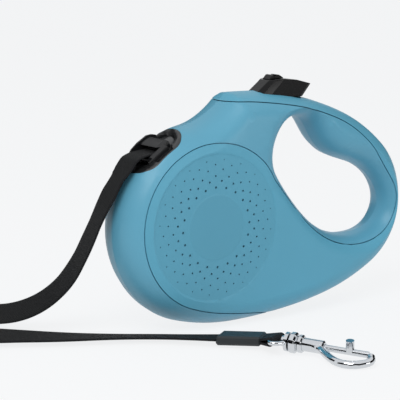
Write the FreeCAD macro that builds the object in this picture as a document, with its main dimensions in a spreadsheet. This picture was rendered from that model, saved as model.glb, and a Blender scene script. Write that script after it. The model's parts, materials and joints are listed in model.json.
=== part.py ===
import FreeCAD, Part
import math
import os
from FreeCAD import Matrix, Placement, Rotation, Vector

# Retractable tape leash, millimetres, +Z up.
# Modelling frame: the drum axis runs along Y through the origin, the tape leaves
# towards -X and the grip lies towards +X.  Every sub-part is then placed so that the
# part's own origin is under the middle of the housing, on the surface it stands on.

doc = FreeCAD.newDocument("retractable_leash")
sheet = doc.addObject("Spreadsheet::Sheet", "sizes")
SIZES = (
    ("body_radius", 50.3, "round front of the housing, at the parting plane"),
    ("half_thickness", 17.2, "parting plane to the flat side face"),
    ("edge_depth", 12.6, "how far the elliptical edge rounding reaches inwards"),
    ("belly_radius", 117.0, "first arc under the drum"),
    ("keel_radius", 271.0, "long flat arc that the leash stands on"),
    ("rump_radius", 125.5, "arc that lifts towards the tail"),
    ("tail_radius", 46.7, "lower arc of the tail"),
    ("nose_radius", 38.9, "rear end of the grip"),
    ("back_radius", 44.6, "upper rear corner of the grip"),
    ("shoulder_radius", 100.0, "top of the grip"),
    ("crown_radius", 161.0, "top under the brake button"),
    ("corner_reach", 16.8, "front top corner, ahead of the drum axis"),
    ("corner_radius", 4.6, "rounding of the front top corner"),
    ("neck_radius", 48.0, "hollow between the mouth and the front top corner"),
    ("grip_edge_depth", 11.0, "edge rounding on the hand opening"),
    ("cover_thickness", 1.4, "side covers"),
    ("seam_radius", 42.0, "round part of the cover's edge"),
    ("seam_gap", 0.25, "joint line round the cover"),
    ("dish_radius", 36.5, "shallow dish in the cover"),
    ("dish_depth", 0.35, "depth of that dish"),
    ("shell_wall", 2.2, "moulded wall of the shells"),
    ("rim_wall", 5.0, "wall from the outline to the inner pocket"),
    ("pocket_depth", 9.5, "depth of the pocket in each shell"),
    ("tape_width", 15.0, "webbing"),
    ("tape_thickness", 1.0, "webbing"),
    ("wound_radius", 39.8, "outside of the tape wound on the reel"),
    ("hub_radius", 22.0, "core of the reel"),
    ("hub_wall", 1.6, "wall of the reel core"),
    ("flange_radius", 43.0, "reel flanges"),
    ("flange_thickness", 1.6, "reel flanges"),
    ("tooth_depth", 3.0, "ratchet teeth in the right flange"),
    ("tooth_count", 24.0, "ratchet teeth"),
    ("reel_clearance", 1.8, "flange to chamber wall"),
    ("side_clearance", 0.35, "between tape, flanges and shells"),
    ("axle_radius", 4.0, "steel axle"),
    ("bushing_wall", 2.0, "plain bearing round the axle"),
    ("running_clearance", 0.05, "radial clearance of the bearings"),
    ("boss_radius", 8.0, "axle bosses in the shells"),
    ("mouth_angle", 125.3, "middle of the mouth, from +X towards +Z, in degrees"),
    ("mouth_length", 32.6, "mouth insert along the rim"),
    ("mouth_width", 25.4, "mouth insert across the housing"),
    ("mouth_corner", 11.0, "corner radius of the mouth insert"),
    ("mouth_gap", 0.15, "joint line round the mouth insert"),
    ("mouth_lip", 1.5, "width of the insert's rim"),
    ("mouth_depth", 2.7, "depth of the tray in the insert"),
    ("pin_radius", 1.15, "steel guide pin under the tape"),
    ("button_width", 13.5, "brake button across the housing"),
    ("button_length", 29.9, "brake button along the housing"),
    ("button_start", 35.2, "front of the button, ahead of the drum axis"),
    ("button_lean", 50.0, "lean of the button from the horizontal, in degrees"),
    ("button_height", 4.8, "front edge of the button's top above the housing"),
    ("button_travel", 3.0, "brake travel"),
    ("button_clearance", 0.35, "button to housing"),
    ("button_slope", 15.2, "fall of the button's top towards the rear, in degrees"),
    ("slider_length", 8.9, "lock slider"),
    ("slider_width", 5.6, "lock slider"),
    ("slider_travel", 2.2, "lock travel"),
    ("pawl_thickness", 2.4, "brake pawl, a steel plate"),
    ("screw_radius", 1.25, "housing screws"),
    ("screw_head", 2.4, "head radius of the housing screws"),
    ("sleeve_length", 22.0, "moulded sleeve over the stitched tape end"),
    ("sleeve_width", 15.6, "sleeve"),
    ("sleeve_height", 4.5, "sleeve"),
    ("wire_radius", 1.9, "wire of the hook's bow"),
    ("collar_radius", 5.0, "swivel collar"),
    ("shank_radius", 3.2, "shank of the hook"),
    ("shank_length", 14.5, "shank of the hook from the collar's middle"),
    ("bow_length", 39.4, "swivel's middle to the far end of the bow's middle line"),
    ("bow_width", 15.5, "bow from the bolt's axis to its far side"),
    ("bolt_radius", 1.55, "hook's bolt"),
    ("bolt_travel", 6.0, "hook's bolt"),
    ("eye_width", 20.0, "swivel eye across"),
    ("eye_bar", 1.1, "bar of the swivel eye"),
)
for row, (name, value, words) in enumerate(SIZES, start=1):
    sheet.set("A%d" % row, name)
    sheet.set("B%d" % row, str(value))
    sheet.setAlias("B%d" % row, name)
    sheet.set("C%d" % row, words)
doc.recompute()


def size(name):
    """One driving dimension."""
    return float(sheet.get(name))


def polar(radius, degrees):
    """Point at an angle from +X towards +Z, in the parting plane."""
    angle = math.radians(degrees)
    return Vector(radius * math.cos(angle), 0, radius * math.sin(angle))


# ---------------------------------------------------------------- housing outline
# The outline is a chain of tangent arcs.  Each row is the heading, in degrees, that
# the arc ends with; the first arc starts on the round front at CHIN_ANGLE.
CHIN_ANGLE = 255.0
CHAIN = (
    ("belly_radius", 0.0),
    ("keel_radius", 12.3),
    ("rump_radius", 28.2),
    ("tail_radius", 41.2),
    ("nose_radius", 90.0),
    ("back_radius", 139.1),
    ("shoulder_radius", 156.0),
    ("crown_radius", 180.0),
)
NECK_HEADING = 224.0
CROWN, NOSE, KEEL = 8, 5, 1


def chain_knots(inset=0.0):
    """Ends of the chain's arcs, and their headings, for the outline set in by inset."""
    heading = CHIN_ANGLE + 90.0 - 360.0
    point = polar(size("body_radius") - inset, CHIN_ANGLE)
    knots = [(point, heading)]
    for name, end in CHAIN:
        radius = size(name) - inset
        centre = point + polar(radius, heading + 90.0)
        point = centre + polar(radius, end - 90.0)
        heading = end
        knots.append((point, heading))
    return knots


def arc_between(start, heading, end, end_heading, radius):
    """Arc from start to end whose middle lies between the two headings."""
    turn = end_heading - heading
    side = 90.0 if turn > 0 else -90.0
    centre = start + polar(radius, heading + side)
    middle = centre + polar(radius, heading + turn / 2.0 - side)
    return Part.Arc(start, middle, end).toShape()


def outline_edges(inset=0.0):
    """Closed outline of the housing in the parting plane, set in by inset."""
    round_front = size("body_radius") - inset
    knots = chain_knots(inset)
    edges = []
    for (start, heading), (end, end_heading), (name, _) in zip(knots, knots[1:], CHAIN):
        edges.append(arc_between(start, heading, end, end_heading, size(name) - inset))
    crown = knots[-1][0]
    # sharp corner where the crown's level meets the neck's slope, both set in
    half = math.radians((NECK_HEADING - 180.0) / 2.0)
    corner = Vector(size("corner_reach") + inset * math.tan(half), 0, crown.z)
    rounding = size("corner_radius")
    reach = rounding * math.tan(half)
    corner_start = corner + Vector(reach, 0, 0)
    corner_end = corner + polar(reach, NECK_HEADING)
    edges.append(Part.LineSegment(crown, corner_start).toShape())
    edges.append(arc_between(corner_start, 180.0, corner_end, NECK_HEADING, rounding))
    # hollow arc that touches the neck's slope and the round front
    slope = polar(1.0, NECK_HEADING - 180.0)
    outwards = polar(1.0, NECK_HEADING - 90.0)
    neck = size("neck_radius")
    level = corner.dot(outwards) + neck
    along = math.sqrt((round_front + neck) ** 2 - level ** 2)
    centre = outwards * level + slope * along
    neck_start = centre - outwards * neck
    neck_end = centre * (round_front / (round_front + neck))
    neck_middle = centre - (centre * (1.0 / centre.Length) + outwards).normalize() * neck
    edges.append(Part.LineSegment(corner_end, neck_start).toShape())
    edges.append(Part.Arc(neck_start, neck_middle, neck_end).toShape())
    front = math.degrees(math.atan2(neck_end.z, neck_end.x))
    middle = polar(round_front, (front + CHIN_ANGLE) / 2.0)
    edges.append(Part.Arc(neck_end, middle, knots[0][0]).toShape())
    return edges


def outline_wire(inset, level):
    wire = Part.Wire(outline_edges(inset))
    wire.translate(Vector(0, level, 0))
    return wire


BASE_KNOTS = chain_knots()
TAIL_REACH = BASE_KNOTS[NOSE][0].x
KEEL_DROP = -BASE_KNOTS[KEEL][0].z
CROWN_HEIGHT = BASE_KNOTS[CROWN][0].z
HOME = Vector((size("body_radius") - TAIL_REACH) / 2.0, 0, KEEL_DROP)


# ---------------------------------------------------------------- hand opening
# Shape of the hand opening: x as a share of its length, z as a share of its height,
# and how far its edge is flared as a share of the grip's edge depth.
OPENING_SHAPE = (
    (0.215, 1.000, 1.0), (0.080, 0.940, 1.0), (0.010, 0.810, 1.0), (0.001, 0.660, 1.0),
    (0.058, 0.526, 1.0), (0.152, 0.378, 1.0), (0.266, 0.232, 1.0), (0.424, 0.092, 1.0),
    (0.611, 0.012, 1.0), (0.794, 0.010, 1.05), (0.937, 0.078, 1.15), (1.000, 0.240, 1.25),
    (0.953, 0.386, 1.25), (0.829, 0.522, 1.25), (0.653, 0.608, 1.2), (0.498, 0.682, 1.1),
    (0.414, 0.772, 1.05), (0.352, 0.880, 1.0), (0.300, 0.962, 1.0),
)
OPENING_FRONT = size("body_radius") - 9.1
OPENING_REAR = TAIL_REACH - 11.3
OPENING_LOW = -15.9
OPENING_TOP = CROWN_HEIGHT - 14.3


def opening_points(grow=0.0, flare=0.0):
    """Points round the hand opening, moved out into the housing by grow and by the flare."""
    length = OPENING_REAR - OPENING_FRONT
    height = OPENING_TOP - OPENING_LOW
    points = [
        Vector(OPENING_FRONT + x * length, 0, OPENING_LOW + z * height)
        for x, z, _ in OPENING_SHAPE
    ]
    moved = []
    for index, point in enumerate(points):
        before = points[index - 1]
        after = points[(index + 1) % len(points)]
        along = (after - before).normalize()
        reach = grow + flare * OPENING_SHAPE[index][2]
        moved.append(point + Vector(along.z, 0, -along.x) * reach)
    return moved


def opening_wire(grow, level, flare=0.0):
    curve = Part.BSplineCurve()
    curve.interpolate(opening_points(grow, flare), PeriodicFlag=True)
    wire = Part.Wire([curve.toShape()])
    wire.translate(Vector(0, level, 0))
    return wire


# ---------------------------------------------------------------- moulded half shells
STEPS = (0.0, 18.0, 36.0, 54.0, 72.0, 90.0)
OVERLAP = 1.0
# behind TAPER_START the housing gets thinner by this share for every millimetre
TAPER_START = 62.0
TAPER_RATE = 0.00366


def crossings(edge):
    """Parameters, both ends among them, where an edge passes the start of the taper."""
    first, last = edge.ParameterRange
    steps = [first + (last - first) * step / 96.0 for step in range(97)]
    found = [first]
    for low, high in zip(steps, steps[1:]):
        before = edge.valueAt(low).x - TAPER_START
        after = edge.valueAt(high).x - TAPER_START
        if before * after >= 0:
            continue
        for _ in range(60):
            middle = (low + high) / 2.0
            if (edge.valueAt(middle).x - TAPER_START) * before > 0:
                low = middle
            else:
                high = middle
        found.append(low)
    return found + [last]


def tapered(wire, level):
    """A section wire, tipped inwards behind its widest part so that the grip gets thinner."""
    tip = Matrix()
    tip.A21 = -TAPER_RATE * level
    tip.A24 = TAPER_RATE * level * TAPER_START
    edges = []
    for edge in wire.OrderedEdges:
        marks = crossings(edge)
        pieces = []
        for low, high in zip(marks, marks[1:]):
            piece = edge.Curve.toShape(low, high)
            if edge.valueAt((low + high) / 2.0).x > TAPER_START:
                piece = piece.transformGeometry(tip).Edges[0]
            pieces.append(piece)
        edges += pieces if edge.Orientation == "Forward" else pieces[::-1]
    return Part.Wire(edges)


def side_faces(wire):
    """The flat side and the tapered side behind it, which meet in an upright line."""
    front, rear = [], []
    for edge in wire.OrderedEdges:
        behind = edge.valueAt(sum(edge.ParameterRange) / 2.0).x > TAPER_START
        (rear if behind else front).append(edge)
    marks = [vertex.Point for vertex in wire.Vertexes if abs(vertex.Point.x - TAPER_START) < 1e-6]
    fold = Part.LineSegment(marks[0], marks[1]).toShape()
    groups = [Part.__sortEdges__(group + [fold]) for group in (front, rear)]
    return [Part.Face(Part.Wire(group)) for group in groups]


def half_pillow(inset):
    """Right half of the housing as a cushion form, set in by inset all over."""
    thickness = size("half_thickness") - inset
    depth = size("edge_depth") - inset
    wires = []
    for step in STEPS:
        angle = math.radians(step)
        level = thickness * math.sin(angle)
        wires.append(tapered(outline_wire(inset + depth * (1 - math.cos(angle)), level), level))
    faces = Part.makeLoft(wires, False, True).Faces + [Part.Face(wires[0])] + side_faces(wires[-1])
    skin = Part.Shell(faces)
    skin.sewShape()
    solid = Part.Solid(skin)
    if solid.Volume < 0:
        solid.reverse()
    return solid


def opening_flare(grow):
    """The hand opening's cutter for one half, flared like the edge of the grip."""
    thickness = size("half_thickness") - grow
    depth = size("grip_edge_depth") - grow
    rows = [(-OVERLAP, grow, 0.0)]
    for step in STEPS:
        angle = math.radians(step)
        rows.append((thickness * math.sin(angle), grow, depth * (1 - math.cos(angle))))
    rows.append((size("half_thickness") + OVERLAP, grow, depth + OVERLAP))
    wires = []
    for level, moved, flare in rows:
        wire = opening_wire(moved, level, flare)
        inside = 0.0 <= level <= thickness
        wires.append(tapered(wire, level if inside else 0.0))
    return Part.makeLoft(wires, True, True)


def half_form(inset):
    """Half of the housing with the hand opening: even in front, tapered behind."""
    return half_pillow(inset).cut(opening_flare(inset))


# Joint line along the grip, as shares of the tail's reach and of the crown's height.
GRIP_SEAM = (
    (0.160, 0.934), (0.223, 0.924), (0.340, 0.893), (0.467, 0.842), (0.556, 0.786),
    (0.651, 0.707), (0.729, 0.607), (0.798, 0.481), (0.856, 0.352), (0.901, 0.242),
    (0.938, 0.130), (0.951, 0.030),
)


def grip_seam(grow):
    points = [Vector(x * TAIL_REACH, 0, z * CROWN_HEIGHT) for x, z in GRIP_SEAM]
    moved = []
    for index, point in enumerate(points):
        before = points[max(index - 1, 0)]
        after = points[min(index + 1, len(points) - 1)]
        along = (after - before).normalize()
        moved.append(point + Vector(along.z, 0, -along.x) * grow)
    return moved


def seam_face(grow):
    """Area of a side cover seen from the side, its edge moved out by grow."""
    hug = 4.3
    seam = size("seam_radius") + grow
    hugging = opening_points(hug - grow)
    lower = [hugging[index] for index in (10, 9, 8, 7, 6, 5)]
    leave = polar(seam, 29.0)
    front = Vector(size("corner_reach") - 3.5, 0, CROWN_HEIGHT - 4.2 - grow)
    start = front + Vector(-6.0, 0, 0.0)
    upper = Part.BSplineCurve()
    upper.interpolate([start, front] + grip_seam(grow) + lower + [leave])
    low = polar(seam, 250.0)
    tail_exit = [
        low,
        Vector(5.0, 0, -size("body_radius") + 5.6 - grow),
        Vector(17.0, 0, -KEEL_DROP + 6.0 - grow),
        Vector(30.0, 0, -KEEL_DROP + 4.0 - grow),
        Vector(43.0, 0, -KEEL_DROP + 0.4 - grow),
        Vector(52.0, 0, -KEEL_DROP - 4.0 - grow),
    ]
    leaving = Part.BSplineCurve()
    leaving.interpolate(tail_exit)
    far = TAIL_REACH + 20.0
    above = CROWN_HEIGHT + 15.0
    corners = [
        tail_exit[-1],
        Vector(far, 0, tail_exit[-1].z),
        Vector(far, 0, above),
        Vector(start.x, 0, above),
        start,
    ]
    edges = [upper.toShape(), Part.Arc(leave, polar(seam, 139.5), low).toShape()]
    edges.append(leaving.toShape())
    edges += [
        Part.LineSegment(first, second).toShape()
        for first, second in zip(corners, corners[1:])
    ]
    return Part.Face(Part.Wire(edges))


def seam_prism(grow):
    face = seam_face(grow)
    face.translate(Vector(0, -OVERLAP, 0))
    return face.extrude(Vector(0, size("half_thickness") + 2 * OVERLAP, 0))


def cylinder_y(radius, start, end, centre=Vector(0, 0, 0)):
    """Round bar along Y between two levels."""
    base = Vector(centre.x, start, centre.z)
    return Part.makeCylinder(radius, end - start, base, Vector(0, 1, 0))


def box_between(low, high):
    return Part.makeBox(high[0] - low[0], high[1] - low[1], high[2] - low[2], Vector(*low))


TAPE_HALF = size("tape_width") / 2.0
FLANGE_IN = TAPE_HALF + size("side_clearance") - 0.05
FLANGE_OUT = FLANGE_IN + size("flange_thickness")
CHAMBER_HALF = FLANGE_OUT + size("side_clearance")
CHAMBER_RADIUS = size("flange_radius") + size("reel_clearance")
FLOOR_LEVEL = size("half_thickness") - size("cover_thickness") - size("shell_wall")

# button and brake places that the shells are cut for
LEAN = size("button_lean")
PRESS = polar(-1.0, LEAN)
FOOT_FALL = 6.6
BUTTON_FOOT = Vector(size("button_start") - 2.4, 0, CROWN_HEIGHT - 3.9)
FRONT_SLOPE = 37.0
TOP_POINT = Vector(size("button_start") + 6.9, 0, CROWN_HEIGHT + size("button_height"))
FRONT_LAND = 10.4
SLIDER_X = TOP_POINT.x + 0.3
SLIDER_LOW = TOP_POINT.z - 2.0
SPRING_X = size("button_start") + 0.6
SPRING_LOW = CROWN_HEIGHT - 15.0
SPRING_TOP = CROWN_HEIGHT - 3.4
SPRING_RADIUS = 2.4
PAWL_TIP = size("flange_radius") + 1.0
PAWL_SHOULDER = PAWL_TIP + 8.0
PAWL_TOP = PAWL_TIP + 32.5
PAWL_HALF = 5.0
TOOTH_LOW = FLANGE_IN + 0.15
TOOTH_HIGH = FLANGE_OUT - 0.15
SCREW_SEAT = 8.0


def leaning_box(low, high, half, start, end):
    """Box along the line that the brake is pressed on, measured off the drum axis."""
    box = box_between((-half, start, low), (half, end, high))
    box.rotate(Vector(0, 0, 0), Vector(0, 1, 0), 90.0 - LEAN)
    return box


def pawl_room(gap):
    """Space swept by the brake pawl."""
    half = size("pawl_thickness") / 2.0 + gap
    low = PAWL_TIP - size("button_travel") - 2.0
    stem = leaning_box(low, PAWL_TOP + 1.0, half, -PAWL_HALF - gap, PAWL_HALF + gap)
    foot = leaning_box(low, PAWL_SHOULDER + 0.6, half, 0.0, TOOTH_HIGH + gap)
    return stem.fuse(foot)


# screw places, all hidden under the covers
SCREWS = (
    polar(CHAMBER_RADIUS + 4.9, -61.1),
    BASE_KNOTS[2][0] + polar(11.0, BASE_KNOTS[2][1] + 90.0),
    BASE_KNOTS[3][0] + polar(12.5, BASE_KNOTS[3][1] + 90.0),
    BASE_KNOTS[6][0] + polar(9.8, BASE_KNOTS[6][1] + 100.0),
)
SCREW_BOSS = 3.4


def plan_profile(grow, level):
    """Outline of the button seen from above: facets at the front, blunted rear corners."""
    half = size("button_width") / 2.0 + grow
    front = size("button_start") - grow
    rear = size("button_start") + size("button_length") + grow
    right = [
        (rear, half - 2.0), (rear - 0.6, half - 0.6), (rear - 2.0, half),
        (front + 7.9, half), (front + 2.6, half - 0.55), (front, half - 2.75),
    ]
    left = [(x, -y) for x, y in reversed(right)]
    corners = [Vector(x, y, level) for x, y in right + left]
    return Part.Face(Part.makePolygon(corners + corners[:1]))


def leaning_column(grow, low, high):
    """Button's column between two levels, leaning back from its place at the crown."""
    slope = math.tan(math.radians(LEAN))
    face = plan_profile(grow, low)
    face.translate(Vector((low - CROWN_HEIGHT) / slope, 0, 0))
    return face.extrude(Vector((high - low) / slope, 0, high - low))


def half_plane(point, heading, depth=120.0, wide=60.0):
    """Slab on the right-hand side of a line in the parting plane, for trimming."""
    along = polar(1.0, heading)
    away = polar(1.0, heading - 90.0)
    corners = [point - along * depth, point + along * depth,
               point + along * depth + away * depth, point - along * depth + away * depth]
    face = Part.Face(Part.makePolygon(corners + corners[:1]))
    face.translate(Vector(0, -wide, 0))
    return face.extrude(Vector(0, 2 * wide, 0))


def button_solid():
    """Leaning button with a sloping front, a level land and a top that falls behind it."""
    column = leaning_column(0.0, CROWN_HEIGHT - 14.0, CROWN_HEIGHT + 12.0)
    break_point = TOP_POINT + Vector(FRONT_LAND, 0, 0.9)
    land = math.degrees(math.atan2(0.9, FRONT_LAND))
    level_cut = half_plane(TOP_POINT, 180.0 + land)
    slope_cut = half_plane(break_point, 180.0 - size("button_slope"))
    front_cut = half_plane(TOP_POINT, 180.0 + FRONT_SLOPE)
    underside = half_plane(BUTTON_FOOT, -FOOT_FALL)
    solid = column.cut(level_cut).cut(slope_cut).cut(front_cut).cut(underside)
    seat = Part.makeCylinder(SPRING_RADIUS + 0.3, SPRING_TOP - SPRING_LOW,
                             Vector(SPRING_X, 0, SPRING_LOW))
    half = size("pawl_thickness") / 2.0
    slot = leaning_box(PAWL_TIP, PAWL_TOP, half, -PAWL_HALF, PAWL_HALF)
    return solid.cut(seat).cut(slot).cut(slider_groove(size("side_clearance")))


def slider_groove(gap):
    """Room for the lock slider in the button's top, open above."""
    half = size("slider_width") / 2.0 + gap
    return box_between((SLIDER_X - gap, -half, SLIDER_LOW - gap),
                       (SLIDER_X + size("slider_length") + size("slider_travel") + gap, half,
                        TOP_POINT.z + 6.0))


def slider_solid():
    """Lock slider: a foot in the groove and a thumb pad with two ridges above it."""
    half = size("slider_width") / 2.0
    top = TOP_POINT.z
    rear = size("slider_length")
    profile = [
        (0.0, SLIDER_LOW - top), (0.0, 0.3), (1.9, 2.3), (2.8, 2.5), (4.1, 1.2), (4.8, 1.2),
        (5.4, 2.4), (6.2, 2.4), (rear, 0.9), (rear, SLIDER_LOW - top),
    ]
    corners = [Vector(SLIDER_X + x, -half, top + z) for x, z in profile]
    face = Part.Face(Part.makePolygon(corners + corners[:1]))
    return face.extrude(Vector(0, 2 * half, 0))


def pocket_prism():
    """Hollow inside a shell, following the outline and the hand opening."""
    wall = size("rim_wall")
    outer = Part.Face(outline_wire(wall, -OVERLAP))
    hole = Part.Face(opening_wire(wall, -OVERLAP))
    face = outer.cut(hole)
    prism = face.extrude(Vector(0, size("pocket_depth") + OVERLAP, 0))
    length = OPENING_REAR - OPENING_FRONT
    height = OPENING_TOP - OPENING_LOW
    tail = box_between((OPENING_FRONT + 8.0, -2.0, -2.0 * KEEL_DROP),
                       (OPENING_REAR - 8.0, 20.0, OPENING_LOW + 8.0))
    grip = box_between((OPENING_FRONT + 0.35 * length, -2.0, OPENING_LOW + 0.55 * height),
                       (OPENING_REAR - 8.0, 20.0, CROWN_HEIGHT))
    return prism.common(tail.fuse(grip))


def mouth_profile(grow, level):
    """Rounded rectangle of the mouth, at a distance from the drum axis."""
    length = size("mouth_length") / 2.0 + grow
    width = size("mouth_width") / 2.0 + grow
    corner = size("mouth_corner") + grow
    diagonal = corner * (1 - math.sqrt(0.5))
    points = []
    for side_x, side_y in ((1, 1), (-1, 1), (-1, -1), (1, -1)):
        along = Vector(side_x * length, side_y * (width - corner), level)
        middle = Vector(side_x * (length - diagonal), side_y * (width - diagonal), level)
        across = Vector(side_x * (length - corner), side_y * width, level)
        points.append((along, middle, across) if side_x * side_y > 0 else (across, middle, along))
    edges = []
    for index, (first, middle, last) in enumerate(points):
        edges.append(Part.Arc(first, middle, last).toShape())
        edges.append(Part.LineSegment(last, points[(index + 1) % 4][0]).toShape())
    wire = Part.Wire(edges)
    wire.rotate(Vector(0, 0, 0), Vector(0, 1, 0), 90.0 - size("mouth_angle"))
    return wire


def mouth_prism(grow, low, high, taper=0.0):
    """Block along the mouth's own direction, from low to high off the drum axis."""
    return Part.makeLoft([mouth_profile(grow - taper, low), mouth_profile(grow, high)], True, True)


MOUTH_LOW = size("body_radius") - 9.7
MOUTH_HIGH = size("body_radius") + 9.7


def shell_blank():
    """Right half of the housing with its chamber, pockets and wells, before its screws."""
    layer = OUTER_FORM.cut(INNER_FORM)
    recess = layer.common(seam_prism(0.0))
    shell = OUTER_FORM.cut(recess)
    chamber = cylinder_y(CHAMBER_RADIUS, -OVERLAP, CHAMBER_HALF)
    relief = cylinder_y(CHAMBER_RADIUS - 8.0, -OVERLAP, FLOOR_LEVEL)
    shell = shell.cut(pocket_prism()).cut(chamber).cut(relief)
    boss = cylinder_y(size("boss_radius"), FLANGE_OUT + 0.3, FLOOR_LEVEL + 0.5)
    shell = shell.fuse(boss)
    for place in SCREWS:
        shell = shell.fuse(cylinder_y(SCREW_BOSS, 0.0, size("pocket_depth") + 0.5, place))
    shell = shell.cut(cylinder_y(size("axle_radius"), -OVERLAP, FLOOR_LEVEL))
    # brake room in the neck, and the well that the button slides in
    well = leaning_column(size("button_clearance"), CROWN_HEIGHT - 14.0, CROWN_HEIGHT + 12.0)
    floor = half_plane(BUTTON_FOOT + PRESS * (size("button_travel") + 0.6), -FOOT_FALL)
    spring_room = Part.makeCylinder(SPRING_RADIUS + 0.3, 20.0, Vector(SPRING_X, 0, SPRING_LOW))
    shell = shell.cut(well.cut(floor)).cut(pawl_room(0.45)).cut(spring_room)
    return shell.cut(mouth_prism(size("mouth_gap"), MOUTH_LOW, MOUTH_HIGH))


def shell_solid(blank, side):
    """One moulded half of the housing; side is 1 for the right and -1 for the left."""
    shell = blank
    for place in SCREWS:
        if side > 0:
            shell = shell.cut(cylinder_y(size("screw_radius") + 0.15, -OVERLAP, 20.0, place))
            shell = shell.cut(cylinder_y(size("screw_head") + 0.25, SCREW_SEAT, 20.0, place))
        else:
            shell = shell.cut(cylinder_y(size("screw_radius"), -OVERLAP, SCREW_SEAT, place))
    if side < 0:
        shell = shell.mirror(Vector(0, 0, 0), Vector(0, 1, 0))
    return shell


def cover_solid():
    """Right side cover: round face, tail and the outer band of the grip in one moulding."""
    cover = OUTER_FORM.cut(INNER_FORM).common(seam_prism(-size("seam_gap")))
    face = size("half_thickness")
    dish = Part.makeCone(size("dish_radius") + 0.6, size("dish_radius"), size("dish_depth"),
                         Vector(0, face, 0), Vector(0, -1, 0))
    well = leaning_column(size("button_clearance"), CROWN_HEIGHT - 10.5, CROWN_HEIGHT + 12.0)
    return cover.cut(dish).cut(well)


OUTER_FORM = half_form(0.0)
INNER_FORM = half_form(size("cover_thickness"))


def whole_pillow(inset):
    """Both halves of the housing's cushion form, without the hand opening."""
    half = half_pillow(inset)
    return half.fuse(half.mirror(Vector(0, 0, 0), Vector(0, 1, 0)))


TRAY_FLOOR = whole_pillow(size("mouth_depth"))


PIN_PLACE = polar(size("body_radius") - size("mouth_depth") + size("pin_radius") + 0.05, 133.3)
PIN_LIFT = size("pin_radius") + size("tape_thickness") / 2.0
GUIDE_HALF = TAPE_HALF + 1.3
PIN_HALF = GUIDE_HALF - 0.1


# gap between the tape in the mouth and the free tape, whose ends are not quite parallel
TAPE_JOINT = 0.45


def inner_tape_points():
    """Way of the tape from the coil, over the guide pin, to the free run."""
    coil = size("wound_radius") + 0.3 + size("tape_thickness") / 2.0
    over = PIN_PLACE + Vector(-0.1, 0, PIN_LIFT + 0.3)
    away = math.degrees(math.atan2(over.z, over.x))
    touch = polar(coil, away - math.degrees(math.acos(coil / over.Length)))
    end = Vector(*FREE_TAPE[0][:3]) - HOME
    exit_place = end - (end - MOUTH_BEND).normalize() * TAPE_JOINT
    return [touch, over, MOUTH_BEND, exit_place]


def tape_channel(side_gap, below, above):
    """Straight room for the tape between the coil and the guide pin."""
    touch, over = inner_tape_points()[:2]
    run = over - touch
    room = box_between((0.0, -TAPE_HALF - side_gap, -below), (run.Length + 6.0,
                       TAPE_HALF + side_gap, above))
    angle = math.degrees(math.atan2(run.z, run.x))
    room.rotate(Vector(0, 0, 0), Vector(0, 1, 0), -angle)
    room.translate(touch)
    return room


def tray_room(gap):
    """Room in the mouth insert's tray, with walls that lean out, set in by a gap."""
    return mouth_prism(-size("mouth_lip") - gap, CHAMBER_RADIUS - 1.0, CHAMBER_RADIUS + 8.0, 3.0)


def nozzle_solid():
    """Mouth insert: a tray that follows the rim, with a window for the tape."""
    body = whole_pillow(0.1).common(mouth_prism(0.0, MOUTH_LOW, MOUTH_HIGH))
    body = body.cut(tray_room(0.0).cut(TRAY_FLOOR))
    body = body.cut(cylinder_y(CHAMBER_RADIUS + 0.25, -CHAMBER_HALF - 0.3, CHAMBER_HALF + 0.3))
    window = box_between(
        (PIN_PLACE.x - size("pin_radius") - 0.3, -TAPE_HALF - 0.3, PIN_PLACE.z - 3.0),
        (PIN_PLACE.x + 10.0, TAPE_HALF + 0.3, PIN_PLACE.z + 1.0))
    pin = cylinder_y(size("pin_radius") + 0.05, -PIN_HALF - 0.2, PIN_HALF + 0.2, PIN_PLACE)
    return body.cut(window).cut(tape_channel(0.3, 1.0, 1.2)).cut(pin)


PLATE_SHAPE = ((-1.4, 117.0), (-0.2, 118.0), (0.1, 120.0), (0.1, 123.5), (-0.2, 126.4), (-1.2, 127.0))
FAR_CHEEK = ((-1.4, 113.4), (-0.1, 115.6), (0.9, 119.0), (1.0, 126.0), (0.8, 131.0),
             (0.1, 133.8), (-1.4, 135.0))
NEAR_CHEEK = ((-3.4, 119.4), (-1.2, 120.6), (-0.2, 124.0), (0.1, 128.0), (-0.3, 131.0),
              (-1.3, 133.8), (-2.2, 135.0))


def rim_prism(shape, base, start, end):
    """Prism across the mouth: rises off the rim's radius at angles, down to a base radius."""
    rim = size("body_radius")
    profile = [polar(rim + rise, angle) for rise, angle in shape]
    low, high = shape[0][1], shape[-1][1]
    profile += [polar(base, high - 0.3), polar(base, (low + high) / 2.0), polar(base, low + 0.6)]
    face = Part.Face(Part.makePolygon(profile + profile[:1]))
    face.translate(Vector(0, start, 0))
    return face.extrude(Vector(0, end - start, 0))


def near_shoulder():
    """Wedge that slopes the near edge of the bridge down to the mouth's floor."""
    out = polar(1.0, size("mouth_angle"))
    along = Vector(-out.z, 0, out.x)
    rim = size("body_radius")
    corners = [(rim + 1.2, -GUIDE_HALF + 2.9), (rim + 1.2, -GUIDE_HALF - 2.0),
               (rim - 5.0, -GUIDE_HALF - 2.0)]
    points = [out * rise + Vector(0, across, 0) - along * 14.0 for rise, across in corners]
    wedge = Part.Face(Part.makePolygon(points + points[:1]))
    return wedge.extrude(along * 28.0)


def guide_solid():
    """Bridge over the tape: a plate between two cheeks that also carry the guide pin."""
    base = size("body_radius") - size("mouth_depth") - 3.2
    plate = rim_prism(PLATE_SHAPE, base, -GUIDE_HALF + 0.9, GUIDE_HALF - 0.8)
    far = rim_prism(FAR_CHEEK, base, GUIDE_HALF - 1.2, GUIDE_HALF)
    near = rim_prism(NEAR_CHEEK, base, -GUIDE_HALF, -GUIDE_HALF + 1.2)
    pin = cylinder_y(size("pin_radius"), -PIN_HALF, PIN_HALF, PIN_PLACE)
    solid = plate.fuse(far).fuse(near).cut(near_shoulder()).common(tray_room(0.05))
    return solid.cut(TRAY_FLOOR).cut(tape_channel(0.25, 3.0, 0.85)).cut(pin)


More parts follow.
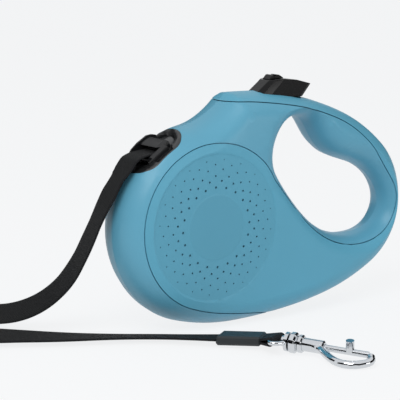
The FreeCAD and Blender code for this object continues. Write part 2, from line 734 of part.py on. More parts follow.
# ---------------------------------------------------------------- flat webbing
def route_stations(points, banks, radii=None):
    """Stations along straight runs joined by tangent arcs.

    Each station is a place, a direction and a bank: the tilt of the webbing's width,
    0 when it lies flat with its leading edge to the right of the way it runs."""
    stations = [(points[0], (points[1] - points[0]).normalize(), banks[0])]
    report = []
    for index in range(1, len(points) - 1):
        before, here, after = points[index - 1], points[index], points[index + 1]
        first = here - before
        second = after - here
        turn = first.getAngle(second)
        reach = 0.45 * min(first.Length, second.Length)
        radius = reach / math.tan(turn / 2.0)
        if radii is not None:
            radius = radii
            reach = radius * math.tan(turn / 2.0)
        report.append(radius)
        start_way = Vector(first).normalize()
        end_way = Vector(second).normalize()
        inward = (end_way - start_way * start_way.dot(end_way)).normalize()
        start = here - start_way * reach
        centre = start + inward * radius
        steps = max(2, int(math.ceil(math.degrees(turn) / 11.0)))
        for step in range(steps + 1):
            angle = turn * step / steps
            place = centre + start_way * (radius * math.sin(angle)) - inward * (radius * math.cos(angle))
            way = start_way * math.cos(angle) + inward * math.sin(angle)
            share = (step / steps - 0.5) * 0.9
            other = banks[index + 1] if share > 0 else banks[index - 1]
            stations.append((place, way, banks[index] + (other - banks[index]) * abs(share)))
    stations.append((points[-1], (points[-1] - points[-2]).normalize(), banks[-1]))
    return stations, report


def ribbon(points, banks, width, thickness, radii=None):
    """Flat webbing along a route, as ruled strips between its stations."""
    stations, report = route_stations(points, banks, radii)
    wires = []
    length = 0.0
    for index, (place, way, bank) in enumerate(stations):
        right = Vector(way.y, -way.x, 0).normalize()
        upward = right.cross(way)
        angle = math.radians(bank)
        edge = right * math.cos(angle) + upward * math.sin(angle)
        across = way.cross(edge).normalize()
        edge = edge * (width / 2.0)
        across = across * (thickness / 2.0)
        corners = [place + edge + across, place - edge + across,
                   place - edge - across, place + edge - across]
        wires.append(Part.makePolygon(corners + corners[:1]))
        if index:
            length += (place - stations[index - 1][0]).Length
    solid = Part.makeLoft(wires, True, True)
    print("webbing length %.1f, radii %s, volume %.0f of %.0f" % (
        length, ["%.0f" % value for value in report], solid.Volume, width * thickness * length))
    return solid


# route of the free tape in the part's own frame: place and bank
FREE_TAPE = (
    (-82.6, 0.0, 83.7, 0), (-86.2, 0.3, 79.2, 4), (-93.9, 2.6, 65.0, 19),
    (-98.7, 7.6, 48.6, 48), (-103.0, 16.4, 31.0, 54), (-109.0, 28.4, 17.6, 43),
    (-117.9, 41.4, 9.2, 34), (-128.9, 54.6, 6.4, 24), (-141.7, 65.6, 8.6, 50),
    (-157.3, 70.6, 9.3, 75), (-171.3, 63.4, 9.6, 100), (-175.7, 48.6, 9.0, 125),
    (-166.3, 36.8, 6.6, 152), (-151.3, 29.6, 4.8, 163), (-134.7, 20.6, 4.0, 171),
    (-114.5, 8.2, 3.0, 179), (-91.7, -2.2, 2.0, 187), (-73.8, -13.0, 1.7, 188),
    (-61.8, -25.3, 2.3, 187), (-52.2, -36.6, 3.0, 184),
)
MOUTH_BEND = Vector(-79.3, 0.0, 88.1) - HOME
SLEEVE_HEADING = -49.0
SLEEVE_PITCH = -2.3
SLEEVE_ROLL = -4.0
HOOK_HEADING = -60.0
HOOK_PITCH = 2.5
HOOK_ROLL = 8.7
HOOK_PLACE = Vector(-33.3, -72.3, 5.5)
SLEEVE_START = Vector(*FREE_TAPE[-1][:3])


def local_frame(origin, heading, pitch, roll=0.0):
    """Placement whose X points along heading and falls by pitch, rolled about X."""
    turn = Rotation(Vector(0, 0, 1), heading)
    tip = Rotation(Vector(0, 1, 0), pitch)
    bank = Rotation(Vector(1, 0, 0), roll)
    return Placement(origin, turn.multiply(tip).multiply(bank))


SLEEVE_FRAME = local_frame(SLEEVE_START, SLEEVE_HEADING, SLEEVE_PITCH, SLEEVE_ROLL)
EYE_BACK = 10.5
EYE_ROLL = -4.0
EYE_FRAME = local_frame(HOOK_PLACE, HOOK_HEADING, HOOK_PITCH, EYE_ROLL)
HOOK_FRAME = local_frame(HOOK_PLACE, HOOK_HEADING, HOOK_PITCH, HOOK_ROLL)


# ---------------------------------------------------------------- inner tape
def inner_tape():
    points = inner_tape_points()
    return ribbon(points, [0.0] * len(points), size("tape_width"), size("tape_thickness"))


# ---------------------------------------------------------------- springs
def strip_wires(places, ways, width, thickness, across):
    """Rectangular sections for a strip or a wire of square section."""
    wires = []
    for place, way in zip(places, ways):
        side = across * (width / 2.0)
        depth = way.cross(across).normalize() * (thickness / 2.0)
        corners = [place + side + depth, place - side + depth,
                   place - side - depth, place + side - depth]
        wires.append(Part.makePolygon(corners + corners[:1]))
    return wires


def power_spring():
    """Flat spiral spring in the reel's core."""
    inner = size("axle_radius") + 0.9
    outer = size("hub_radius") - size("hub_wall") - 0.35
    turns, steps = 9, 16
    places = []
    for index in range(turns * steps + 1):
        share = index / (turns * steps)
        places.append(polar(inner + (outer - inner) * share, 360.0 * index / steps))
    ways = []
    for index in range(len(places)):
        before = places[max(index - 1, 0)]
        after = places[min(index + 1, len(places) - 1)]
        ways.append((after - before).normalize())
    wires = strip_wires(places, ways, 2 * (FLANGE_IN - 3.6), 0.55, Vector(0, 1, 0))
    return Part.makeLoft(wires, True, True)


def button_spring():
    """Coil spring under the button, from the floor of its room to the button's seat."""
    radius = SPRING_RADIUS - 0.45
    wire = 0.8
    turns, steps = 6, 14
    low = SPRING_LOW + wire / 2.0
    rise = SPRING_TOP - SPRING_LOW - wire
    places = []
    for index in range(turns * steps + 1):
        angle = 2 * math.pi * index / steps
        share = min(max((index / steps - 0.8) / (turns - 1.6), 0.0), 1.0)
        places.append(Vector(SPRING_X + radius * math.cos(angle), radius * math.sin(angle),
                             low + rise * share))
    wires = []
    for index, place in enumerate(places):
        out = Vector(place.x - SPRING_X, place.y, 0).normalize() * (wire / 2.0)
        up = Vector(0, 0, wire / 2.0)
        corners = [place + out + up, place - out + up, place - out - up, place + out - up]
        wires.append(Part.makePolygon(corners + corners[:1]))
    return Part.makeLoft(wires, True, True)


# ---------------------------------------------------------------- sleeve and hook
def sleeve_solid():
    """Moulded sleeve over the stitched end, with chamfered edges and a slot behind."""
    length = size("sleeve_length")
    width = size("sleeve_width")
    height = size("sleeve_height")
    box = Part.makeBox(length, width, height, Vector(0, -width / 2.0, -height / 2.0))
    box = box.makeChamfer(0.9, box.Edges)
    return box.cut(loop_solid())


def loop_solid():
    """Webbing loop, in the sleeve's frame: out of the sleeve, round the bar and back.

    The hook pulls aside, so the loop runs slantwise and twists to lie flat on the bar."""
    inside = SLEEVE_FRAME.inverse()
    turned = inside.Rotation.multiply(EYE_FRAME.Rotation)
    bar = inside.multVec(EYE_FRAME.multVec(Vector(-EYE_BACK, 0, 0)))
    bar_side = turned.multVec(Vector(0, 1, 0))
    bar_ahead = turned.multVec(Vector(1, 0, 0))
    bar_up = turned.multVec(Vector(0, 0, 1))
    sleeve_side, sleeve_up = Vector(0, 1, 0), Vector(0, 0, 1)
    end = Vector(size("sleeve_length"), 0, 0)
    bend = size("eye_bar") + size("tape_thickness") / 2.0 + 0.15
    layer = 0.85
    half = min(TAPE_HALF, size("eye_width") / 2.0 - 2.0 * size("eye_bar") - 0.4)
    lower = []
    for share in (0.0, 0.35, 0.7, 1.0):
        up = sleeve_up * (1 - share) + bar_up * share
        side = (sleeve_side * (1 - share) + bar_side * share).normalize()
        depth = layer + (bend - layer) * share
        middle = end * (1 - share) + bar * share
        lower.append((middle, side, up, depth))
    stations = [(end - Vector(3.5, 0, 0) - sleeve_up * layer, sleeve_side)]
    stations += [(middle - up * depth, side) for middle, side, up, depth in lower]
    for angle in (22.5, 45.0, 67.5, 90.0, 112.5, 135.0, 157.5):
        turn = math.radians(angle)
        stations.append((bar + bar_ahead * (bend * math.sin(turn))
                         - bar_up * (bend * math.cos(turn)), bar_side))
    stations += [(middle + up * depth, side) for middle, side, up, depth in reversed(lower)]
    stations.append((end - Vector(3.5, 0, 0) + sleeve_up * layer, sleeve_side))
    wires = []
    for index, (place, side) in enumerate(stations):
        before = stations[max(index - 1, 0)][0]
        after = stations[min(index + 1, len(stations) - 1)][0]
        way = (after - before).normalize()
        depth = way.cross(side).normalize() * (size("tape_thickness") / 2.0)
        edge = side * half
        corners = [place + edge + depth, place - edge + depth,
                   place - edge - depth, place + edge - depth]
        wires.append(Part.makePolygon(corners + corners[:1]))
    return Part.makeLoft(wires, True, True)


def tube(places, radius, sides=12):
    """Round wire along places that lie in one plane across Z."""
    wires = []
    for index, place in enumerate(places):
        before = places[max(index - 1, 0)]
        after = places[min(index + 1, len(places) - 1)]
        aside = (after - before).cross(Vector(0, 0, 1)).normalize()
        corners = []
        for number in range(sides):
            angle = 2 * math.pi * (number + 0.5) / sides
            corners.append(place + aside * (radius * math.cos(angle))
                           + Vector(0, 0, radius * math.sin(angle)))
        wires.append(Part.makePolygon(corners + corners[:1]))
    return Part.makeLoft(wires, True, True)


SWIVEL_NECK = 1.7
SWIVEL_HEAD = 2.6
COLLAR_BACK = -2.8


def eye_solid():
    """Swivel eye: a bar in the webbing loop, two cheeks and the ring for the swivel."""
    bar = size("eye_bar")
    half = size("eye_width") / 2.0 - bar
    ring_front = COLLAR_BACK - 0.4
    one_side = [
        Vector(ring_front - 0.85, 2.4, 0), Vector(ring_front - 1.4, 4.4, 0),
        Vector(-EYE_BACK + 4.2, half - 1.0, 0), Vector(-EYE_BACK + 2.5, half, 0),
        Vector(-EYE_BACK + 0.9, half - 0.3, 0), Vector(-EYE_BACK, half - 1.2, 0),
    ]
    other_side = [Vector(place.x, -place.y, 0) for place in reversed(one_side)]
    wire = tube(one_side + other_side, bar)
    ahead_of = Vector(1, 0, 0)
    ring = Part.makeCylinder(4.6, 1.7, Vector(ring_front - 1.7, 0, 0), ahead_of)
    neck = Part.makeCylinder(SWIVEL_NECK + size("running_clearance"), 6.0,
                             Vector(ring_front - 4.1, 0, 0), ahead_of)
    room = Part.makeCylinder(SWIVEL_HEAD + 0.3, 2.4, Vector(ring_front - 4.1, 0, 0), ahead_of)
    front = Part.makeCylinder(size("collar_radius") + 0.4, 3.0, Vector(ring_front, 0, 0),
                              ahead_of)
    return ring.fuse(wire).cut(neck).cut(room).cut(front)


# middle line of the bow: along the hook and aside, as shares of its length and width
BOW_SHAPE = (
    (0.228, 0.11), (0.343, 0.21), (0.416, 0.40), (0.525, 0.70), (0.647, 0.94),
    (0.751, 1.00), (0.850, 0.93), (0.937, 0.76), (0.995, 0.50), (0.975, 0.23),
)
# web that fills the fork between the shank and the bow
WEB_SHAPE = ((12.4, 2.2), (15.0, 2.3), (18.4, 6.4), (16.6, 5.2))


def bow_centres():
    """Middle line of the bow, from inside the shank to the nose."""
    wire = size("wire_radius")
    length = size("bow_length")
    width = size("bow_width") - wire
    return [Vector(along * length, -aside * width, 0) for along, aside in BOW_SHAPE]


def hook_solid():
    """Collar, shank and bow of the hook in one casting, bored for the bolt."""
    ahead_of = Vector(1, 0, 0)
    collar = Part.makeCylinder(size("collar_radius"), 3.6, Vector(COLLAR_BACK, 0, 0), ahead_of)
    collar = collar.makeChamfer(0.8, [edge for edge in collar.Edges if edge.Closed])
    second = Part.makeCylinder(size("collar_radius") - 0.7, 2.6, Vector(1.4, 0, 0), ahead_of)
    second = second.makeChamfer(0.6, [edge for edge in second.Edges if edge.Closed])
    groove = Part.makeCylinder(size("collar_radius") - 1.5, 3.0, Vector(0.0, 0, 0), ahead_of)
    neck = Part.makeCylinder(SWIVEL_NECK, 3.0, Vector(COLLAR_BACK - 2.7, 0, 0), ahead_of)
    head = Part.makeCylinder(SWIVEL_HEAD, 1.6, Vector(COLLAR_BACK - 4.0, 0, 0), ahead_of)
    shank = Part.makeCylinder(size("shank_radius"), size("shank_length"), Vector(0, 0, 0),
                              ahead_of)
    shank = shank.makeChamfer(0.7, [edge for edge in shank.Edges if edge.Closed])
    curve = Part.BSplineCurve()
    curve.interpolate(bow_centres())
    bow = tube(curve.discretize(Number=25), size("wire_radius"))
    nose = Part.makeSphere(size("wire_radius") * 1.06, bow_centres()[-1] + Vector(-0.3, 0.6, 0))
    corners = [Vector(along, -aside, -0.9) for along, aside in WEB_SHAPE]
    web = Part.Face(Part.makePolygon(corners + corners[:1])).extrude(Vector(0, 0, 1.8))
    bore = Part.makeCylinder(size("bolt_radius") + size("running_clearance"), 60.0,
                             Vector(BORE_START, 0, 0), ahead_of)
    body = shank.multiFuse([collar, second, groove, neck, head, bow, web])
    keep = Part.makeBox(BOLT_END - 4.0, 40.0, 40.0, Vector(0.0, -20.0, -20.0))
    return body.cut(bore.common(keep)).fuse(nose).cut(tip_room())


def tip_room():
    """Seat in the hook's nose that the bolt closes against."""
    return Part.makeCylinder(size("bolt_radius") + 0.25, 8.0,
                             Vector(BOLT_END + 0.1 - 8.0, 0, 0), Vector(1, 0, 0))


BOLT_END = size("bow_length") - 3.1
BOLT_START = size("bolt_travel") + 3.4
BORE_START = BOLT_START - size("bolt_travel") - 0.4
STUD_PLACE = 27.0


# ---------------------------------------------------------------- sub-parts
PARTS = []


def keep_part(obj, node, place, label):
    """Gives a finished sub-part its label and place, and lists it for export."""
    obj.Placement = place
    obj.Label = label
    PARTS.append((obj, node))
    return obj


def moulding(node, shape, place, label):
    """Free-form sub-part whose shape is computed from the sheet."""
    obj = doc.addObject("Part::Feature", node)
    obj.Shape = shape
    return keep_part(obj, node, place, label)


def round_bar(name, radius, height, level=0.0, centre=Vector(0, 0, 0)):
    """Cylinder along Y, driven by expressions, its middle at a level."""
    bar = doc.addObject("Part::Cylinder", name)
    bar.setExpression("Radius", radius)
    bar.setExpression("Height", height)
    doc.recompute()
    base = Vector(centre.x, level - bar.Height.Value / 2.0, centre.z)
    bar.Placement = Placement(base, Rotation(Vector(1, 0, 0), -90.0))
    return bar


def joined(name, shapes):
    fusion = doc.addObject("Part::MultiFuse", name)
    fusion.Shapes = shapes
    return fusion


def less(name, base, tool):
    cut = doc.addObject("Part::Cut", name)
    cut.Base = base
    cut.Tool = tool
    return cut


def sketch_body(name, plane, outlines, length):
    """PartDesign body with one closed sketch padded evenly to both sides of its plane."""
    body = doc.addObject("PartDesign::Body", name)
    sketch = doc.addObject("Sketcher::SketchObject", name + "_sketch")
    body.addObject(sketch)
    origin = [item for item in body.Origin.OriginFeatures if item.Role == plane][0]
    sketch.AttachmentSupport = [(origin, "")]
    sketch.MapMode = "FlatFace"
    for points in outlines:
        for first, second in zip(points, points[1:] + points[:1]):
            sketch.addGeometry(Part.LineSegment(Vector(*first, 0), Vector(*second, 0)), False)
    pad = doc.addObject("PartDesign::Pad", name + "_pad")
    body.addObject(pad)
    pad.Profile = sketch
    pad.Type = "Length"
    pad.SideType = "Symmetric"
    pad.setExpression("Length", length)
    return body


DRUM = Placement(HOME, Rotation())

# housing
SHELL_BLANK = shell_blank()
moulding("left_shell", shell_solid(SHELL_BLANK, -1), DRUM, "Left half shell")
moulding("right_shell", shell_solid(SHELL_BLANK, 1), DRUM, "Right half shell")
RIGHT_COVER = cover_solid()
LEFT_COVER = RIGHT_COVER.mirror(Vector(0, 0, 0), Vector(0, 1, 0))
moulding("left_cover", LEFT_COVER, DRUM, "Left side cover")
moulding("right_cover", RIGHT_COVER, DRUM, "Right side cover")
moulding("nozzle", nozzle_solid(), DRUM, "Mouth insert")
moulding("tape_guide", guide_solid(), DRUM, "Bridge over the tape")

guide_pin = round_bar("guide_pin", "sizes.pin_radius", "sizes.tape_width + 2.4")
keep_part(guide_pin, "guide_pin",
          Placement(HOME + PIN_PLACE + Vector(0, -PIN_HALF, 0), Rotation(Vector(1, 0, 0), -90.0)),
          "Guide pin")

# brake
moulding("brake_button", button_solid(), DRUM, "Brake button")
moulding("lock_slider", slider_solid(), DRUM, "Lock slider")
moulding("button_spring", button_spring(), DRUM, "Button spring")
pawl_outline = [
    (-PAWL_HALF, PAWL_TOP), (-PAWL_HALF, PAWL_TIP + 3.2), (TOOTH_LOW, PAWL_TIP + 3.2),
    (TOOTH_LOW, PAWL_TIP), (TOOTH_HIGH, PAWL_TIP), (TOOTH_HIGH, PAWL_SHOULDER),
    (PAWL_HALF, PAWL_SHOULDER), (PAWL_HALF, PAWL_TOP),
]
pawl = sketch_body("brake_pawl", "YZ_Plane", [pawl_outline], "sizes.pawl_thickness")
keep_part(pawl, "brake_pawl",
          Placement(HOME, Rotation(Vector(0, 1, 0), 90.0 - LEAN)), "Brake pawl")

# reel: core and left flange in one, toothed right flange, bearings and spring
BORE = "sizes.axle_radius + sizes.bushing_wall"
core = round_bar("reel_core", "sizes.hub_radius", str(2 * FLANGE_IN))
left_flange = round_bar("reel_left_flange", "sizes.flange_radius", "sizes.flange_thickness",
                        level=-(FLANGE_IN + FLANGE_OUT) / 2.0)
core_room = round_bar("reel_core_room", "sizes.hub_radius - sizes.hub_wall",
                      str(2 * FLANGE_IN + 0.02), level=0.01)
core_tube = less("reel_core_tube", core, core_room)
bearing_tube = round_bar("reel_bearing_tube", BORE + " + 2", "3.5",
                         level=-FLANGE_IN + 1.75)
reel_bore = round_bar("reel_bore", BORE, "60")
reel = less("reel", joined("reel_blank", [core_tube, left_flange, bearing_tube]), reel_bore)
keep_part(reel, "reel", DRUM, "Reel core with left flange")

teeth = int(size("tooth_count"))
tip = size("flange_radius")
root = tip - size("tooth_depth")
pitch = 360.0 / teeth
middle_of_gap = LEAN
toothed = []
for number in range(teeth):
    gap = middle_of_gap + number * pitch
    for radius, angle in ((tip, gap - pitch * 0.30), (root, gap - pitch * 0.22),
                          (root, gap + pitch * 0.22), (tip, gap + pitch * 0.30)):
        place = polar(radius, angle)
        toothed.append((place.x, place.z))
ratchet = sketch_body("ratchet_flange", "XZ_Plane", [toothed], "sizes.flange_thickness")
ratchet_bore = doc.addObject("Part::Cylinder", "ratchet_bore")
ratchet_bore.setExpression("Radius", BORE)
ratchet_bore.Height = 20.0
ratchet_bore.Placement = Placement(Vector(0, -10.0, 0), Rotation(Vector(1, 0, 0), -90.0))
ratchet_ring = less("ratchet_ring", ratchet, ratchet_bore)
keep_part(ratchet_ring, "ratchet_flange",
          Placement(HOME + Vector(0, (FLANGE_IN + FLANGE_OUT) / 2.0, 0), Rotation()),
          "Toothed right flange")

spring_lid = round_bar("spring_lid_disc", "sizes.hub_radius - sizes.hub_wall", "2.8",
                       level=FLANGE_IN - 1.4)
spring_lid_bore = round_bar("spring_lid_bore", BORE, "60")
keep_part(less("spring_lid", spring_lid, spring_lid_bore), "spring_lid", DRUM, "Spring lid")
moulding("power_spring", power_spring(), DRUM, "Power spring")

for node, level, label in (("left_bushing", -1, "Left plain bearing"),
                           ("right_bushing", 1, "Right plain bearing")):
    middle = level * (FLANGE_OUT + FLANGE_IN - 2.8) / 2.0
    outside = round_bar(node + "_outside", BORE, str(FLANGE_OUT - FLANGE_IN + 2.7), level=middle)
    inside = round_bar(node + "_inside", "sizes.axle_radius + sizes.running_clearance", "60")
    keep_part(less(node, outside, inside), node, DRUM, label)

axle_bar = round_bar("axle_bar", "sizes.axle_radius", str(2 * FLOOR_LEVEL - 0.2))
axle_core = round_bar("axle_screw_hole", "1.2", "100")
keep_part(less("axle", axle_bar, axle_core), "axle", DRUM, "Axle")

wound = round_bar("wound_outside", "sizes.wound_radius", "sizes.tape_width")
wound_core = round_bar("wound_core", "sizes.hub_radius", "60")
keep_part(less("wound_tape", wound, wound_core), "wound_tape", DRUM, "Tape wound on the reel")
moulding("inner_tape", inner_tape(), DRUM, "Tape from the coil to the mouth")

# screws through the right shell into the left one
shanks = []
for number, place in enumerate(SCREWS, start=1):
    shank = round_bar("screw_shank_%d" % number, "sizes.screw_radius", "16", level=1.0,
                      centre=place)
    head = round_bar("screw_head_%d" % number, "sizes.screw_head", "1.6",
                     level=SCREW_SEAT + 0.8, centre=place)
    shanks += [shank, head]
keep_part(joined("shell_screws", shanks), "shell_screws", DRUM, "Housing screws")

# free tape, sleeve, loop, swivel and hook
free_points = [Vector(*row[:3]) for row in FREE_TAPE]
free_banks = [row[3] for row in FREE_TAPE]
moulding("tape", ribbon(free_points, free_banks, size("tape_width"), size("tape_thickness")),
         Placement(), "Free tape")
moulding("tape_sleeve", sleeve_solid(), SLEEVE_FRAME, "Sleeve over the stitched end")
moulding("tape_loop", loop_solid(), SLEEVE_FRAME, "Webbing loop")
moulding("swivel_eye", eye_solid(), EYE_FRAME, "Swivel eye")
moulding("hook_body", hook_solid(), HOOK_FRAME, "Hook body")

bolt_bar = doc.addObject("Part::Cylinder", "bolt_bar")
bolt_bar.setExpression("Radius", "sizes.bolt_radius")
bolt_bar.setExpression("Height", "sizes.bow_length - sizes.bolt_travel - 6.5")
bolt_bar.Placement = Placement(Vector(BOLT_START, 0, 0), Rotation(Vector(0, 1, 0), 90.0))
bolt_stud = doc.addObject("Part::Cylinder", "bolt_stud")
bolt_stud.Radius = 2.0
bolt_stud.Height = 5.8
bolt_stud.Placement = Placement(Vector(STUD_PLACE, 0, 0), Rotation())
keep_part(joined("hook_bolt", [bolt_bar, bolt_stud]), "hook_bolt", HOOK_FRAME, "Hook bolt")

doc.recompute()

# ---------------------------------------------------------------- checks and export
problems = []
for obj in doc.Objects:
    state = [word for word in obj.State if word in ("Invalid", "Error")]
    if state:
        problems.append("%s %s" % (obj.Name, state))
for obj, node in PARTS:
    if obj.Shape.isNull() or not obj.Shape.isValid():
        problems.append("%s has no valid shape" % node)
    elif len(obj.Shape.Solids) < 1:
        problems.append("%s has no solid" % node)
if problems:
    raise RuntimeError("; ".join(problems))

os.makedirs("parts", exist_ok=True)
for obj, node in PARTS:
    obj.Shape.exportStep(os.path.join("parts", node + ".step"))
    box = obj.Shape.BoundBox
    print("%-15s solids %d  x %.1f %.1f  y %.1f %.1f  z %.2f %.1f  volume %.0f" % (
        node, len(obj.Shape.Solids), box.XMin, box.XMax, box.YMin, box.YMax,
        box.ZMin, box.ZMax, obj.Shape.Volume))
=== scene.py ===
import json
import math

import bmesh
import bpy
from mathutils import Matrix, Vector

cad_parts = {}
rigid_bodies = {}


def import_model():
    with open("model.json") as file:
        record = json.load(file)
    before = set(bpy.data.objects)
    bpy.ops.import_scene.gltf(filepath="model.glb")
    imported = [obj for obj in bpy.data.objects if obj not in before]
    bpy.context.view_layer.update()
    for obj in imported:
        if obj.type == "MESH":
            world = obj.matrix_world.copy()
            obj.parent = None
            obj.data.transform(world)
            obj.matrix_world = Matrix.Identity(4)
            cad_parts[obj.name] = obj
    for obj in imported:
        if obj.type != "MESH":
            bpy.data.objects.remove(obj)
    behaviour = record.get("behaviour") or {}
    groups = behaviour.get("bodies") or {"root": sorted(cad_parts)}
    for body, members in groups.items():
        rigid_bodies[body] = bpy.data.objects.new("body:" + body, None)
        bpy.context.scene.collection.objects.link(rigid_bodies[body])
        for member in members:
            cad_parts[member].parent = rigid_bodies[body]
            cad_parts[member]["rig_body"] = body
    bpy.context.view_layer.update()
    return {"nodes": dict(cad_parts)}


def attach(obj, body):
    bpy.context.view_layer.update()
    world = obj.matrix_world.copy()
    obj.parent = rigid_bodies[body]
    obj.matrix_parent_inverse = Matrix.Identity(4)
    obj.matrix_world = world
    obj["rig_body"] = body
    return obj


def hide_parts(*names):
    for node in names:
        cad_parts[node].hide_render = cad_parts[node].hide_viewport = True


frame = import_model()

# Camera: a long lens from the front left, a little above the leash, as a shop
# shows such a tool, so that the side, the mouth and the loose tape are all seen.
bpy.ops.object.select_all(action="DESELECT")
camera_right = Vector((0.82036, -0.57184, 0.0))
camera_up = Vector((0.10057, 0.14427, 0.98441))
camera_back = Vector((-0.56293, -0.80758, 0.17586))
bpy.ops.object.camera_add()
camera = bpy.context.object
camera.name = "camera"
turn = Matrix((camera_right, camera_up, camera_back)).transposed().to_4x4()
camera.matrix_world = Matrix.Translation((-0.479924, -0.634478, 0.201617)) @ turn
camera.data.sensor_width = 36.0
camera.data.lens = 141.5
camera.data.shift_x = -0.00125
camera.data.shift_y = 0.00125
camera.data.clip_start = 0.05
camera.data.clip_end = 20.0
bpy.context.scene.camera = camera
bpy.context.scene.view_settings.view_transform = "Standard"


# Webbing: flat black nylon tape, 15 mm wide and 1 mm thick, woven with fine ribs
# across it and a bound edge on each side.  One piece runs out of the mouth, over
# itself on the table and into the sleeve at the hook; a short one lies in the mouth.
def linear_colour(text):
    """The linear colour of an sRGB hex value."""
    channels = []
    for start in (0, 2, 4):
        value = int(text[start:start + 2], 16) / 255.0
        channels.append(value / 12.92 if value <= 0.04045 else ((value + 0.055) / 1.055) ** 2.4)
    return (*channels, 1.0)


def add_node(tree, kind, settings=None, links=None):
    """Adds a node; links maps an input to an output socket, settings to a value or property."""
    node = tree.nodes.new(kind)
    for name, value in (settings or {}).items():
        if isinstance(name, int) or name in node.inputs:
            node.inputs[name].default_value = value
        else:
            setattr(node, name, value)
    for name, socket in (links or {}).items():
        tree.links.new(socket, node.inputs[name])
    return node


def new_material(name):
    """An empty material, with its tree and its output node."""
    material = bpy.data.materials.new(name)
    material.use_nodes = True
    tree = material.node_tree
    tree.nodes.clear()
    output = tree.nodes.new("ShaderNodeOutputMaterial")
    return material, tree, output


def finish_material(tree, output, shader):
    tree.links.new(shader.outputs["BSDF"], output.inputs["Surface"])


def woven_nylon():
    """Woven nylon webbing: dull black-grey, ribs 1.1 mm apart, with a painted sheen on the crowns
    and painted shade between them.
    """
    material, tree, output = new_material("woven_nylon_webbing")
    place = add_node(tree, "ShaderNodeUVMap", {"uv_map": "weave"})
    split = add_node(tree, "ShaderNodeSeparateXYZ", links={0: place.outputs["UV"]})
    # the map is in millimetres: x along the tape, y across it
    rib = add_node(tree, "ShaderNodeMath", {"operation": "MULTIPLY", 1: math.tau / 1.1},
                   {0: split.outputs["X"]})
    rib_wave = add_node(tree, "ShaderNodeMath", {"operation": "SINE"}, {0: rib.outputs[0]})
    cord = add_node(tree, "ShaderNodeMath", {"operation": "MULTIPLY", 1: math.tau / 1.5},
                    {0: split.outputs["Y"]})
    cord_wave = add_node(tree, "ShaderNodeMath", {"operation": "SINE"}, {0: cord.outputs[0]})
    weave = add_node(tree, "ShaderNodeMath", {"operation": "MULTIPLY"},
                     {0: rib_wave.outputs[0], 1: cord_wave.outputs[0]})
    edge = add_node(tree, "ShaderNodeMath", {"operation": "ABSOLUTE"}, {0: split.outputs["Y"]})
    selvedge = add_node(tree, "ShaderNodeMapRange",
                        {"From Min": 6.2, "From Max": 6.7, "To Min": 0.0, "To Max": 1.0},
                        {0: edge.outputs[0]})
    fuzz = add_node(tree, "ShaderNodeTexNoise", {"Scale": 0.9, "Detail": 4.0, "Roughness": 0.7},
                    {"Vector": place.outputs["UV"]})
    tint = add_node(tree, "ShaderNodeMix", {"data_type": "RGBA", 6: linear_colour("161718"),
                                            7: linear_colour("202122")},
                    {0: fuzz.outputs["Fac"]})
    # painted light: the colour is raised on the weave's crowns as a sheen and lowered between
    # them as shade
    painted_rib_light = add_node(tree, "ShaderNodeMapRange",
                    {"From Min": -1.0, "From Max": 1.0, "To Min": 0.82, "To Max": 1.12},
                    {0: weave.outputs[0]})
    shade = add_node(tree, "ShaderNodeVectorMath", {"operation": "SCALE"},
                     {0: tint.outputs[2], "Scale": painted_rib_light.outputs[0]})
    rim = add_node(tree, "ShaderNodeMix", {"data_type": "RGBA", 7: linear_colour("151618")},
                   {0: selvedge.outputs[0], 6: shade.outputs[0]})
    bump = add_node(tree, "ShaderNodeBump", {"Strength": 0.6, "Distance": 0.00012},
                    {"Height": weave.outputs[0]})
    shader = add_node(tree, "ShaderNodeBsdfPrincipled",
                      {"Roughness": 0.72, "IOR": 1.53, "Specular IOR Level": 0.16,
                       "Sheen Weight": 0.02, "Sheen Roughness": 0.45},
                      {"Base Color": rim.outputs[2], "Normal": bump.outputs[0]})
    finish_material(tree, output, shader)
    return material


def spline_points(rows):
    """Points of the smooth spline that has the rows as its control points."""
    curve = bpy.data.curves.new("route", "CURVE")
    curve.dimensions = "3D"
    curve.resolution_u = 10
    spline = curve.splines.new("NURBS")
    spline.points.add(len(rows) - 1)
    for point, row in zip(spline.points, rows):
        point.co = (*row, 1.0)
    spline.order_u = 3
    spline.use_endpoint_u = True
    holder = bpy.data.objects.new("route", curve)
    mesh = bpy.data.meshes.new_from_object(holder)
    found = [vertex.co.copy() for vertex in mesh.vertices]
    bpy.data.objects.remove(holder)
    bpy.data.meshes.remove(mesh)
    return found


